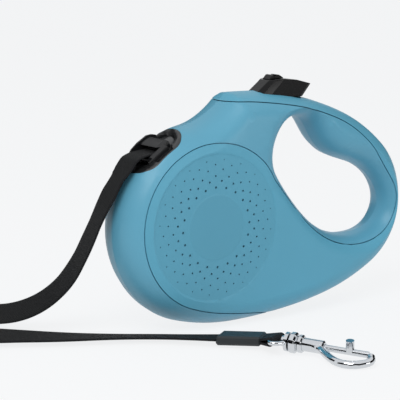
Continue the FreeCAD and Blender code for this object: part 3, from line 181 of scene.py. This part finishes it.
def lay_tape(name, route, material):
    """Webbing along a route: each row is a point in metres and the tilt of its width."""
    width, thickness = 0.015, 0.001
    path = spline_points([row[:3] for row in route])
    banks = [point.x for point in spline_points([(row[3], 0.0, 0.0) for row in route])]
    flat = [-6.9, -6.0, -4.8, -3.6, -2.4, -1.2, 0.0, 1.2, 2.4, 3.6, 4.8, 6.0, 6.9]
    half = thickness / 2.0
    section = [(step / 1000.0, half) for step in flat]
    section += [(width / 2.0 - 0.00012, 0.6 * half), (width / 2.0, 0.0),
                (width / 2.0 - 0.00012, -0.6 * half)]
    section += [(step / 1000.0, -half) for step in reversed(flat)]
    section += [(-width / 2.0 + 0.00012, -0.6 * half), (-width / 2.0, 0.0),
                (-width / 2.0 + 0.00012, 0.6 * half)]
    mesh = bmesh.new()
    rings, travel, run = [], [], 0.0
    for index, place in enumerate(path):
        before, after = path[max(index - 1, 0)], path[min(index + 1, len(path) - 1)]
        way = (after - before).normalized()
        right = Vector((way.y, -way.x, 0.0)).normalized()
        upward = right.cross(way)
        tilt = math.radians(banks[index])
        across = right * math.cos(tilt) + upward * math.sin(tilt)
        out = way.cross(across).normalized()
        rings.append([mesh.verts.new(place + across * x + out * y) for x, y in section])
        if index:
            run += (place - path[index - 1]).length
        travel.append(run * 1000.0)
    weave = mesh.loops.layers.uv.new("weave")
    count = len(section)
    for index in range(len(rings) - 1):
        for step in range(count):
            following = (step + 1) % count
            face = mesh.faces.new((rings[index][step], rings[index][following],
                                   rings[index + 1][following], rings[index + 1][step]))
            face.smooth = True
            along = (travel[index], travel[index], travel[index + 1], travel[index + 1])
            side = (step, following, following, step)
            for loop, distance, corner in zip(face.loops, along, side):
                loop[weave].uv = (distance, section[corner][0] * 1000.0)
    for ring, distance in ((rings[0], travel[0]), (rings[-1], travel[-1])):
        face = mesh.faces.new(ring)
        for edge in face.edges:
            edge.smooth = False
        for loop in face.loops:
            loop[weave].uv = (distance, 0.0)
    bmesh.ops.recalc_face_normals(mesh, faces=mesh.faces[:])
    data = bpy.data.meshes.new(name)
    mesh.to_mesh(data)
    mesh.free()
    tape = bpy.data.objects.new(name, data)
    bpy.context.scene.collection.objects.link(tape)
    data.materials.append(material)
    return tape, path


FREE_ROUTE = (
    (-0.0826, 0.0, 0.0837, 0), (-0.08375, 0.0, 0.08217, 1), (-0.0862, 0.0003, 0.0792, 4),
    (-0.0939, 0.0026, 0.0650, 19),
    (-0.0987, 0.0076, 0.0486, 48), (-0.1030, 0.0164, 0.0310, 54),
    (-0.1090, 0.0284, 0.0176, 43), (-0.1179, 0.0414, 0.0092, 34),
    (-0.1289, 0.0546, 0.0064, 24), (-0.1417, 0.0656, 0.0086, 50),
    (-0.1573, 0.0706, 0.0093, 75), (-0.1713, 0.0634, 0.0096, 100),
    (-0.1757, 0.0486, 0.0090, 125), (-0.1663, 0.0368, 0.0066, 152),
    (-0.1513, 0.0296, 0.0048, 163), (-0.1347, 0.0206, 0.0040, 171),
    (-0.1145, 0.0082, 0.0030, 179), (-0.0917, -0.0022, 0.0020, 187),
    (-0.0738, -0.0130, 0.0017, 188), (-0.0618, -0.0253, 0.0023, 187),
    (-0.0522, -0.0366, 0.0030, 184),
)
webbing = woven_nylon()
tape, tape_path = lay_tape("free_tape", FREE_ROUTE, webbing)
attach(tape, "housing")
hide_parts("tape")
MOUTH_ROUTE = (
    (-0.0437, 0.0, 0.09297, 0), (-0.0530, 0.0, 0.09205, 0), (-0.0640, 0.0, 0.09095, 0),
    (-0.0732, 0.0, 0.0900, 0), (-0.0766, 0.0, 0.0891, 0), (-0.0793, 0.0, 0.0879, 0),
    (-0.0811, 0.0, 0.0857, 0), (-0.0826, 0.0, 0.0837, 0),
)
mouth_tape, _ = lay_tape("mouth_tape", MOUTH_ROUTE, webbing)
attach(mouth_tape, "housing")
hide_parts("inner_tape")


# Housing halves: two injection mouldings in light blue ABS, satin from a finely
# blasted mould, screwed together behind the side covers.  They show as the round
# front, the neck, the inside of the grip and the belly.
SMOOTH_BELOW = 32.0  # degrees between faces that are shaded as one
BEVEL_ABOVE = 28.0  # degrees between faces whose edge is rounded


def round_edges(piece, width, sharp):
    """Rounds the edges whose faces meet at more than an angle in degrees."""
    edge = piece.modifiers.new("edges", "BEVEL")
    edge.width = width
    edge.segments = 2
    edge.limit_method = "ANGLE"
    edge.angle_limit = math.radians(sharp)
    bpy.ops.object.modifier_apply(modifier="edges")


def shade_smoothly(piece, angle=SMOOTH_BELOW, keep_sharp=True):
    """Shades faces that meet below an angle as one, with the large faces kept flat."""
    bpy.ops.object.shade_smooth_by_angle(angle=math.radians(angle))
    weight = piece.modifiers.new("weights", "WEIGHTED_NORMAL")
    weight.keep_sharp = keep_sharp
    bpy.ops.object.modifier_apply(modifier="weights")


def smooth_copy(node, material, angle=SMOOTH_BELOW, bevel=0.0):
    """A merged, smoothly shaded copy of a solid that stands in its place."""
    source = frame["nodes"][node]
    piece = bpy.data.objects.new(node + "_moulding", source.data.copy())
    bpy.context.scene.collection.objects.link(piece)
    bpy.ops.object.select_all(action="DESELECT")
    piece.select_set(True)
    bpy.context.view_layer.objects.active = piece
    bpy.ops.object.mode_set(mode="EDIT")
    bpy.ops.mesh.select_all(action="SELECT")
    bpy.ops.mesh.customdata_custom_splitnormals_clear()
    bpy.ops.mesh.remove_doubles(threshold=0.000002)
    if bevel:
        bpy.ops.mesh.dissolve_limited(angle_limit=math.radians(1.0))
    bpy.ops.object.mode_set(mode="OBJECT")
    if bevel:
        round_edges(piece, bevel, BEVEL_ABOVE)
    shade_smoothly(piece, angle)
    piece.data.materials.clear()
    piece.data.materials.append(material)
    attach(piece, source["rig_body"])
    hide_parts(node)
    return piece


def moulded_plastic(name, colour, roughness, grain, variation=0.04, shine=0.5):
    """Injection-moulded plastic: even colour, fine blasted grain in millimetres."""
    material, tree, output = new_material(name)
    place = add_node(tree, "ShaderNodeTexCoord")
    cloud = add_node(tree, "ShaderNodeTexNoise", {"Scale": 28.0, "Detail": 3.0},
                     {"Vector": place.outputs["Object"]})
    shift = add_node(tree, "ShaderNodeMapRange",
                     {"To Min": 1.0 - variation, "To Max": 1.0 + variation},
                     {0: cloud.outputs["Fac"]})
    tint = add_node(tree, "ShaderNodeVectorMath",
                    {"operation": "SCALE", 0: linear_colour(colour)[:3]},
                    {"Scale": shift.outputs[0]})
    speck = add_node(tree, "ShaderNodeTexNoise", {"Scale": 1000.0 / grain, "Detail": 2.0},
                     {"Vector": place.outputs["Object"]})
    bump = add_node(tree, "ShaderNodeBump", {"Strength": 0.25, "Distance": 0.00004},
                    {"Height": speck.outputs["Fac"]})
    gloss = add_node(tree, "ShaderNodeMapRange",
                     {"To Min": roughness - 0.03, "To Max": roughness + 0.03},
                     {0: cloud.outputs["Fac"]})
    shader = add_node(tree, "ShaderNodeBsdfPrincipled",
                      {"IOR": 1.53, "Specular IOR Level": shine},
                      {"Base Color": tint.outputs[0], "Roughness": gloss.outputs[0],
                       "Normal": bump.outputs[0]})
    finish_material(tree, output, shader)
    return material


housing_blue = moulded_plastic("satin_blue_abs", "60a5bf", 0.38, 0.6, shine=0.35)
for node in ("left_shell", "right_shell"):
    smooth_copy(node, housing_blue)


# Side covers: thin blue ABS mouldings clipped over the screws.  Each has a round,
# slightly sunk face with rings of fine dimples round a plain middle, and carries on
# as the outer band of the grip.
AXLE = Vector((-0.039617, 0.0, 0.052573))
FACE_LEVEL = 0.01685  # the sunk face's distance from the housing's middle
JOINT_GAP = 0.00022
# rings of dimples, in millimetres: distance from the axle and diameter
DIMPLE_RINGS = ((20.0, 1.6), (23.2, 1.45), (25.7, 1.25), (28.9, 1.1), (31.4, 1.0), (33.7, 0.75))
DIMPLES_PER_RING = 20


def axle_distance(tree, place):
    """The distance from the axle's line, as an output socket."""
    offset = add_node(tree, "ShaderNodeVectorMath", {"operation": "SUBTRACT", 1: tuple(AXLE)},
                      {0: place.outputs["Object"]})
    level = add_node(tree, "ShaderNodeVectorMath", {"operation": "MULTIPLY", 1: (1, 0, 1)},
                     {0: offset.outputs[0]})
    reach = add_node(tree, "ShaderNodeVectorMath", {"operation": "LENGTH"},
                     {0: level.outputs[0]})
    return reach.outputs["Value"]


def cover_plastic():
    """The housing's blue ABS, with a round face and a plain disc in its middle, and painted shade
    on the sunk face.
    """
    material = moulded_plastic("satin_blue_abs_cover", "5ca5bf", 0.42, 0.6, shine=0.3)
    tree = material.node_tree
    shader = tree.nodes["Principled BSDF"]
    reach = axle_distance(tree, tree.nodes["Texture Coordinate"])
    # soft edge of the plain middle, 16.3 mm from the axle
    disc = add_node(tree, "ShaderNodeMapRange",
                    {"interpolation_type": "SMOOTHSTEP", "From Min": 0.0158,
                     "From Max": 0.0168, "To Min": 1.0, "To Max": 0.0},
                    {0: reach})
    bump = tree.nodes["Bump"]
    step = add_node(tree, "ShaderNodeBump", {"Strength": 0.7, "Distance": 0.00012},
                    {"Height": disc.outputs[0], "Normal": bump.outputs[0]})
    tree.links.new(step.outputs[0], shader.inputs["Normal"])
    old = shader.inputs["Base Color"].links[0].from_socket
    shade = add_node(tree, "ShaderNodeMapRange", {"To Min": 1.0, "To Max": 0.965},
                     {0: disc.outputs[0]})
    # painted shade on the sunk face, 36.5 mm from the axle: it is darkened a little, and the
    # cover outside it is painted a little lighter
    face = add_node(tree, "ShaderNodeMapRange",
                    {"interpolation_type": "SMOOTHSTEP", "From Min": 0.0362,
                     "From Max": 0.0370, "To Min": 0.965, "To Max": 1.02},
                    {0: reach})
    middle_tone_and_face_shade = add_node(tree, "ShaderNodeMath", {"operation": "MULTIPLY"},
                    {0: shade.outputs[0], 1: face.outputs[0]})
    tint = add_node(tree, "ShaderNodeVectorMath", {"operation": "SCALE"},
                    {0: old, "Scale": middle_tone_and_face_shade.outputs[0]})
    tree.links.new(tint.outputs[0], shader.inputs["Base Color"])
    return material


def dimple_cutter(side):
    """All dimples of one cover, as cones joined into one cutter."""
    tools = []
    for row, (reach, diameter) in enumerate(DIMPLE_RINGS):
        start = 1.43 if row % 2 == 0 else -7.55
        bpy.ops.object.select_all(action="DESELECT")
        bpy.ops.mesh.primitive_cone_add(vertices=12, radius1=diameter / 2000.0,
                                        radius2=diameter / 3600.0, depth=0.0016,
                                        rotation=(side * math.radians(90.0), 0.0, 0.0))
        pattern = bpy.context.object
        bpy.ops.object.transform_apply(location=False, rotation=True, scale=True)
        for count in range(DIMPLES_PER_RING):
            angle = math.radians(start + 360.0 / DIMPLES_PER_RING * count)
            tool = pattern if count == 0 else pattern.copy()
            if count:
                tool.data = pattern.data.copy()
                bpy.context.scene.collection.objects.link(tool)
            tool.location = AXLE + Vector((reach * math.cos(angle) / 1000.0,
                                           side * (FACE_LEVEL - 0.0001),
                                           reach * math.sin(angle) / 1000.0))
            tools.append(tool)
    bpy.ops.object.select_all(action="DESELECT")
    for tool in tools:
        tool.select_set(True)
    bpy.context.view_layer.objects.active = tools[0]
    bpy.ops.object.join()
    cutter = bpy.context.object
    bpy.ops.object.transform_apply(location=True, rotation=True, scale=True)
    return cutter


def open_joint(cover):
    """Draws the cover's edge in by a gap, so that the joint line shows."""
    mesh = bmesh.new()
    mesh.from_mesh(cover.data)
    for vertex in mesh.verts:
        walls = [face.normal for face in vertex.link_faces if abs(face.normal.y) < 0.01]
        if walls:
            vertex.co -= sum(walls, Vector()).normalized() * JOINT_GAP
    mesh.to_mesh(cover.data)
    mesh.free()


cover_blue = cover_plastic()
# painted shade: the dimples' faces take a darker copy of the blue, for the shade in their hollows
dimple_painted_shade = moulded_plastic("satin_blue_abs_dimple_painted_shade", "4f8498", 0.6, 0.6, shine=0.2)
for node, side in (("left_cover", -1.0), ("right_cover", 1.0)):
    cover = smooth_copy(node, cover_blue)
    open_joint(cover)
    cutter = dimple_cutter(side)
    cutter.data.materials.append(dimple_painted_shade)
    cover.data.materials.append(dimple_painted_shade)
    bpy.ops.object.select_all(action="DESELECT")
    cover.select_set(True)
    bpy.context.view_layer.objects.active = cover
    cut = cover.modifiers.new("dimples", "BOOLEAN")
    cut.operation = "DIFFERENCE"
    cut.solver = "EXACT"
    cut.material_mode = "TRANSFER"
    cut.object = cutter
    bpy.ops.object.modifier_apply(modifier="dimples")
    shade_smoothly(cover)
    bpy.data.objects.remove(cutter)


# Mouth insert and tape bridge: black glass-filled nylon, moulded with a fine satin
# grain, because the tape rubs on it.  The insert sits flush in the round front and
# the bridge stands in its tray over the steel guide pin.
mouth_black = moulded_plastic("grained_black_nylon", "222324", 0.28, 0.3,
                              variation=0.08, shine=0.6)
bridge_black = moulded_plastic("polished_black_nylon", "17181a", 0.28, 0.5,
                               variation=0.08, shine=0.4)

MOUTH_TURN = math.radians(125.3)  # middle of the mouth seen from the axle
HALF_LENGTH, HALF_WIDTH, CORNER = 0.0163, 0.0127, 0.011
RIM_WIDTH, RIM_KEPT = 0.0038, 0.16  # the solid's rim at most, and the share of it kept
ON_OUTLINE = 0.0003


def depth_inside(point):
    """How far a point lies inside the insert's rounded outline."""
    place = point - AXLE
    along = place.x * math.sin(MOUTH_TURN) - place.z * math.cos(MOUTH_TURN)
    over = Vector((abs(along) - HALF_LENGTH + CORNER, abs(place.y) - HALF_WIDTH + CORNER))
    beyond = Vector((max(over.x, 0.0), max(over.y, 0.0))).length
    return CORNER - beyond - min(max(over.x, over.y), 0.0)


def thin_rim(insert):
    """Slopes the tray's wall out towards the insert's edge, so that a thin rim is left."""
    outward = Vector((math.cos(MOUTH_TURN), 0.0, math.sin(MOUTH_TURN)))
    mesh = bmesh.new()
    mesh.from_mesh(insert.data)
    rim = [face for face in mesh.faces if face.normal.dot(outward) > 0.5
           and all(depth_inside(vertex.co) < RIM_WIDTH for vertex in face.verts)]
    outline = [[vertex.co.copy() for vertex in edge.verts]
               for edge in {edge for face in rim for edge in face.edges}
               if all(depth_inside(vertex.co) < ON_OUTLINE for vertex in edge.verts)]
    for vertex in {vertex for face in rim for vertex in face.verts}:
        if depth_inside(vertex.co) < ON_OUTLINE:
            continue
        nearest = None
        for start, end in outline:
            run = end - start
            share = (vertex.co - start).dot(run) / max(run.length_squared, 1e-14)
            spot = start + run * min(max(share, 0.0), 1.0)
            if nearest is None or (spot - vertex.co).length < (nearest - vertex.co).length:
                nearest = spot
        vertex.co = nearest + (vertex.co - nearest) * RIM_KEPT
    mesh.to_mesh(insert.data)
    mesh.free()
    bpy.ops.object.shade_smooth_by_angle(angle=math.radians(SMOOTH_BELOW))


thin_rim(smooth_copy("nozzle", mouth_black))
smooth_copy("tape_guide", bridge_black, bevel=0.00025)


# Brake button and its lock slider: black ABS.  The button leans back over the top of
# the grip, with a sloping front; the slider's two ridges give the thumb a hold.
button_black = moulded_plastic("semi_gloss_black_abs", "050506", 0.2, 0.4,
                               variation=0.05, shine=0.2)
# half outline seen from above: distance behind the axle and to the side at the housing's
# top, and the lean of that edge; the front leans back more than the rear end
BUTTON_EDGE = (
    (35.3, 3.9, 37.0), (38.0, 6.1, 41.0), (43.2, 6.75, 43.5), (53.2, 6.75, 46.5),
    (62.9, 6.75, 50.0), (64.9, 6.15, 49.0), (65.5, 4.75, 49.0),
)
# distance behind the axle and height above it, along the middle of the button's top
BUTTON_TOP = ((41.6, 69.1), (52.5, 70.05), (67.4, 66.1))
CROWN = 64.35  # height of the housing's top above the axle
BUTTON_FOOT = CROWN - 4.4


def top_level(along):
    """Height of the button's top: nearly level in front, then falling to the rear."""
    (x0, z0), (x1, z1), (x2, z2) = BUTTON_TOP
    if along < x1:
        return z0 + (z1 - z0) * (along - x0) / (x1 - x0)
    return z1 + (z2 - z1) * (along - x1) / (x2 - x1)


def button_corner(foot, side, lean, level):
    """Corner of the button at a level; with no level, where its edge meets the top."""
    slope = 1.0 / math.tan(math.radians(lean))
    if level is None:
        level = CROWN + 5.0
        for _ in range(30):
            level = top_level(foot + (level - CROWN) * slope)
    return AXLE + Vector((foot + (level - CROWN) * slope, side, level)) / 1000.0


bpy.ops.object.select_all(action="DESELECT")
bpy.ops.mesh.primitive_cylinder_add(vertices=14, radius=0.01, depth=0.01)
button = bpy.context.object
button.name = "brake_button_moulding"
outline = [*BUTTON_EDGE, *((x, -y, lean) for x, y, lean in reversed(BUTTON_EDGE))]


def turn_of(vertex):
    """Direction of a vertex of the plain cylinder, in degrees."""
    return round(math.degrees(math.atan2(vertex.co.y, vertex.co.x)), 1)


ring = sorted({turn_of(vertex) for vertex in button.data.vertices})
for vertex in button.data.vertices:
    foot, side, lean = outline[ring.index(turn_of(vertex))]
    level = BUTTON_FOOT if vertex.co.z < 0 else None
    vertex.co = button_corner(foot, side, lean, level)
bpy.ops.object.mode_set(mode="EDIT")
bpy.ops.mesh.select_all(action="SELECT")
bpy.ops.mesh.quads_convert_to_tris()
bpy.ops.mesh.normals_make_consistent(inside=False)
bpy.ops.mesh.dissolve_limited(angle_limit=math.radians(1.0))
bpy.ops.object.mode_set(mode="OBJECT")
round_edges(button, 0.00035, 4.0)
shade_smoothly(button, 30.0, keep_sharp=False)
button.data.materials.append(button_black)
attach(button, "button_body")
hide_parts("brake_button")
smooth_copy("lock_slider", button_black, bevel=0.0002)


# Sleeve and loop at the tape's end: a soft black vinyl sleeve moulded over the
# stitches, and the doubled webbing that comes out of it and goes round the eye.
sleeve_black = moulded_plastic("soft_black_vinyl", "2c3032", 0.45, 0.7, variation=0.06, shine=0.3)
smooth_copy("tape_sleeve", sleeve_black, bevel=0.0004)
loop_black = moulded_plastic("woven_nylon_loop", "1e1f21", 0.7, 0.9, variation=0.12, shine=0.2)
smooth_copy("tape_loop", loop_black)


# Hook: zinc die casting, polished and chrome plated, with a swivel collar, a sprung
# bolt and a thumb stud.  The plate mirrors the room, with a faint haze from handling.
def chrome_plate():
    material, tree, output = new_material("polished_chrome_plate")
    place = add_node(tree, "ShaderNodeTexCoord")
    haze = add_node(tree, "ShaderNodeTexNoise", {"Scale": 260.0, "Detail": 4.0},
                    {"Vector": place.outputs["Object"]})
    gloss = add_node(tree, "ShaderNodeMapRange", {"To Min": 0.05, "To Max": 0.13},
                     {0: haze.outputs["Fac"]})
    bump = add_node(tree, "ShaderNodeBump", {"Strength": 0.12, "Distance": 0.00005},
                    {"Height": haze.outputs["Fac"]})
    shader = add_node(tree, "ShaderNodeBsdfPrincipled",
                      {"Base Color": linear_colour("d2d5d8"), "Metallic": 1.0},
                      {"Roughness": gloss.outputs[0], "Normal": bump.outputs[0]})
    finish_material(tree, output, shader)
    return material


chrome = chrome_plate()
for node in ("swivel_eye", "hook_body", "hook_bolt"):
    smooth_copy(node, chrome, angle=40.0)


# Reel, bearings, springs and fixings: the works inside the housing.  Grey acetal for
# the reel and its toothed flange, natural acetal bearings, bright and oiled steel.
def worked_steel(name, colour, roughness, lines):
    """Drawn or turned steel: fine lines along the part and a dull shine."""
    material, tree, output = new_material(name)
    place = add_node(tree, "ShaderNodeTexCoord")
    stretch = add_node(tree, "ShaderNodeMapping", {"Scale": (lines, 40.0, lines)},
                       {"Vector": place.outputs["Object"]})
    marks = add_node(tree, "ShaderNodeTexNoise", {"Scale": 1.0, "Detail": 3.0},
                     {"Vector": stretch.outputs[0]})
    gloss = add_node(tree, "ShaderNodeMapRange",
                     {"To Min": roughness - 0.08, "To Max": roughness + 0.08},
                     {0: marks.outputs["Fac"]})
    bump = add_node(tree, "ShaderNodeBump", {"Strength": 0.2, "Distance": 0.00003},
                    {"Height": marks.outputs["Fac"]})
    shader = add_node(tree, "ShaderNodeBsdfPrincipled",
                      {"Base Color": linear_colour(colour), "Metallic": 1.0},
                      {"Roughness": gloss.outputs[0], "Normal": bump.outputs[0]})
    finish_material(tree, output, shader)
    return material


def coiled_nylon():
    """The wound tape seen from its edge: a dark spiral of 1 mm layers, with painted shade in the
    gaps between layers and painted light on their edges.
    """
    material, tree, output = new_material("woven_nylon_coil")
    reach = axle_distance(tree, add_node(tree, "ShaderNodeTexCoord"))
    turns = add_node(tree, "ShaderNodeMath", {"operation": "MULTIPLY", 1: math.tau / 0.001},
                     {0: reach})
    wave = add_node(tree, "ShaderNodeMath", {"operation": "SINE"}, {0: turns.outputs[0]})
    # painted shade and light: the colour falls to 0.6 in the gaps between layers and rises to
    # 1.15 on their edges
    tint = add_node(tree, "ShaderNodeMapRange",
                    {"From Min": -1.0, "From Max": 1.0, "To Min": 0.6, "To Max": 1.15},
                    {0: wave.outputs[0]})
    shade = add_node(tree, "ShaderNodeVectorMath",
                     {"operation": "SCALE", 0: linear_colour("303136")[:3]},
                     {"Scale": tint.outputs[0]})
    bump = add_node(tree, "ShaderNodeBump", {"Strength": 0.5, "Distance": 0.0002},
                    {"Height": wave.outputs[0]})
    shader = add_node(tree, "ShaderNodeBsdfPrincipled",
                      {"Roughness": 0.7, "IOR": 1.53, "Sheen Weight": 0.2},
                      {"Base Color": shade.outputs[0], "Normal": bump.outputs[0]})
    finish_material(tree, output, shader)
    return material


reel_grey = moulded_plastic("grey_acetal", "9fa19f", 0.45, 0.8)
bearing_white = moulded_plastic("natural_acetal", "dbd9cc", 0.35, 0.8)
turned_steel = worked_steel("turned_steel", "9b9c9d", 0.32, 900.0)
blackened_steel = worked_steel("blackened_steel", "1c1d1f", 0.40, 900.0)
zinc_steel = worked_steel("zinc_plated_steel", "8b8c8f", 0.40, 500.0)
oiled_steel = worked_steel("oiled_spring_steel", "56575a", 0.35, 1200.0)
coil_black = coiled_nylon()
for material, names in (
    (reel_grey, ("reel", "ratchet_flange", "spring_lid")),
    (bearing_white, ("left_bushing", "right_bushing")),
    (turned_steel, ("axle", "brake_pawl")),
    (blackened_steel, ("guide_pin",)),
    (zinc_steel, ("shell_screws",)),
    (oiled_steel, ("button_spring", "power_spring")),
    (coil_black, ("wound_tape",)),
):
    for name in names:
        solid = frame["nodes"][name]
        solid.data.materials.clear()
        solid.data.materials.append(material)


# Table and light: a pale seamless sheet, a broad soft lamp high on the left, a fill
# on the right, and dark cards that show only in reflections.
def straight_rays(tree):
    """One for what is seen straight, in a mirror or through glass, none for lighting."""
    ray = add_node(tree, "ShaderNodeLightPath")
    seen = add_node(tree, "ShaderNodeMath", {"operation": "MAXIMUM"},
                    {0: ray.outputs["Is Camera Ray"], 1: ray.outputs["Is Glossy Ray"]})
    through = add_node(tree, "ShaderNodeMath", {"operation": "MAXIMUM"},
                       {0: seen.outputs[0], 1: ray.outputs["Is Transmission Ray"]})
    return through.outputs[0]


def paper():
    """Pale paper that stays near white to the camera and keeps part of the shadow."""
    material, tree, output = new_material("pale_seamless_paper")
    fibre = add_node(tree, "ShaderNodeTexNoise", {"Scale": 300.0, "Detail": 2.0})
    tone = add_node(tree, "ShaderNodeMapRange", {"To Min": 0.985, "To Max": 1.0},
                    {0: fibre.outputs["Fac"]})
    tint = add_node(tree, "ShaderNodeVectorMath",
                    {"operation": "SCALE", 0: linear_colour("f0f1f2")[:3]},
                    {"Scale": tone.outputs[0]})
    matt = add_node(tree, "ShaderNodeBsdfDiffuse", links={"Color": tint.outputs[0]})
    glow = add_node(tree, "ShaderNodeEmission",
                    {"Color": linear_colour("fbfcfd"), "Strength": 1.0})
    share = add_node(tree, "ShaderNodeMath", {"operation": "MULTIPLY", 1: 0.86},
                     {0: straight_rays(tree)})
    mix = add_node(tree, "ShaderNodeMixShader",
                   links={0: share.outputs[0], 1: matt.outputs[0], 2: glow.outputs[0]})
    tree.links.new(mix.outputs[0], output.inputs["Surface"])
    return material


bpy.ops.object.select_all(action="DESELECT")
bpy.ops.mesh.primitive_plane_add(size=12.0, location=(0.0, 0.0, -0.0002))
table = bpy.context.object
table.name = "table"
bpy.ops.object.transform_apply(location=True, rotation=True, scale=True)
table.data.materials.append(paper())


def soft_lamp(name, place, target, width, height, power):
    """A rectangular soft lamp that points at a place."""
    bpy.ops.object.select_all(action="DESELECT")
    bpy.ops.object.light_add(type="AREA", location=place)
    lamp = bpy.context.object
    lamp.name = name
    lamp.data.shape = "RECTANGLE"
    lamp.data.size = width
    lamp.data.size_y = height
    lamp.data.energy = power
    way = Vector(target) - Vector(place)
    lamp.rotation_euler = way.to_track_quat("-Z", "Y").to_euler()


soft_lamp("key_lamp", (-0.75, -0.55, 0.95), (-0.02, 0.0, 0.06), 0.7, 0.7, 7.0)
soft_lamp("fill_lamp", (0.47, -1.08, 0.17), (0.0, 0.0, 0.08), 0.42, 0.30, 1.6)


def dark_card(name, corners):
    """A black card that shows only in reflections."""
    data = bpy.data.meshes.new(name)
    data.from_pydata(corners, [], [(0, 1, 2, 3)])
    card = bpy.data.objects.new(name, data)
    bpy.context.scene.collection.objects.link(card)
    material, tree, output = new_material(name + "_felt")
    felt = add_node(tree, "ShaderNodeBsdfDiffuse", {"Color": (0.01, 0.01, 0.012, 1.0)})
    tree.links.new(felt.outputs[0], output.inputs["Surface"])
    data.materials.append(material)
    card.visible_camera = False
    card.visible_diffuse = False
    card.visible_shadow = False


# a dark wall round the table, with gaps at the back, and a dark sheet in front
WALL_PARTS = ((-90.0, 38.0), (62.0, 150.0), (168.0, 270.0))
WALL_STEPS = 8
WALL_RADIUS, WALL_LOW, WALL_HIGH = 1.5, 0.04, 1.05
for number, (start, end) in enumerate(WALL_PARTS):
    for step in range(WALL_STEPS):
        turns = [math.radians(start + (end - start) * count / WALL_STEPS)
                 for count in (step, step + 1)]
        (x0, y0), (x1, y1) = [(WALL_RADIUS * math.cos(turn), WALL_RADIUS * math.sin(turn))
                              for turn in turns]
        dark_card("dark_wall_%d_%d" % (number, step),
                  [(x0, y0, WALL_LOW), (x1, y1, WALL_LOW),
                   (x1, y1, WALL_HIGH), (x0, y0, WALL_HIGH)])
SHEET_FRONT, SHEET_BACK, SHEET_SIDE, SHEET_LEVEL = -0.90, -0.145, 0.40, 0.0006
dark_card("dark_sheet",
          [(-SHEET_SIDE, SHEET_FRONT, SHEET_LEVEL), (SHEET_SIDE, SHEET_FRONT, SHEET_LEVEL),
           (SHEET_SIDE, SHEET_BACK, SHEET_LEVEL), (-SHEET_SIDE, SHEET_BACK, SHEET_LEVEL)])

world = bpy.data.worlds.new("studio")
bpy.context.scene.world = world
world.use_nodes = True
sky = world.node_tree
sky.nodes.clear()
world_out = sky.nodes.new("ShaderNodeOutputWorld")
room = add_node(sky, "ShaderNodeBackground",
                {"Color": linear_colour("f4f6f8"), "Strength": 0.56})
backdrop = add_node(sky, "ShaderNodeBackground",
                    {"Color": linear_colour("f5f6f8"), "Strength": 1.0})
blend = add_node(sky, "ShaderNodeMixShader",
                 links={0: straight_rays(sky), 1: room.outputs[0], 2: backdrop.outputs[0]})
sky.links.new(blend.outputs[0], world_out.inputs["Surface"])
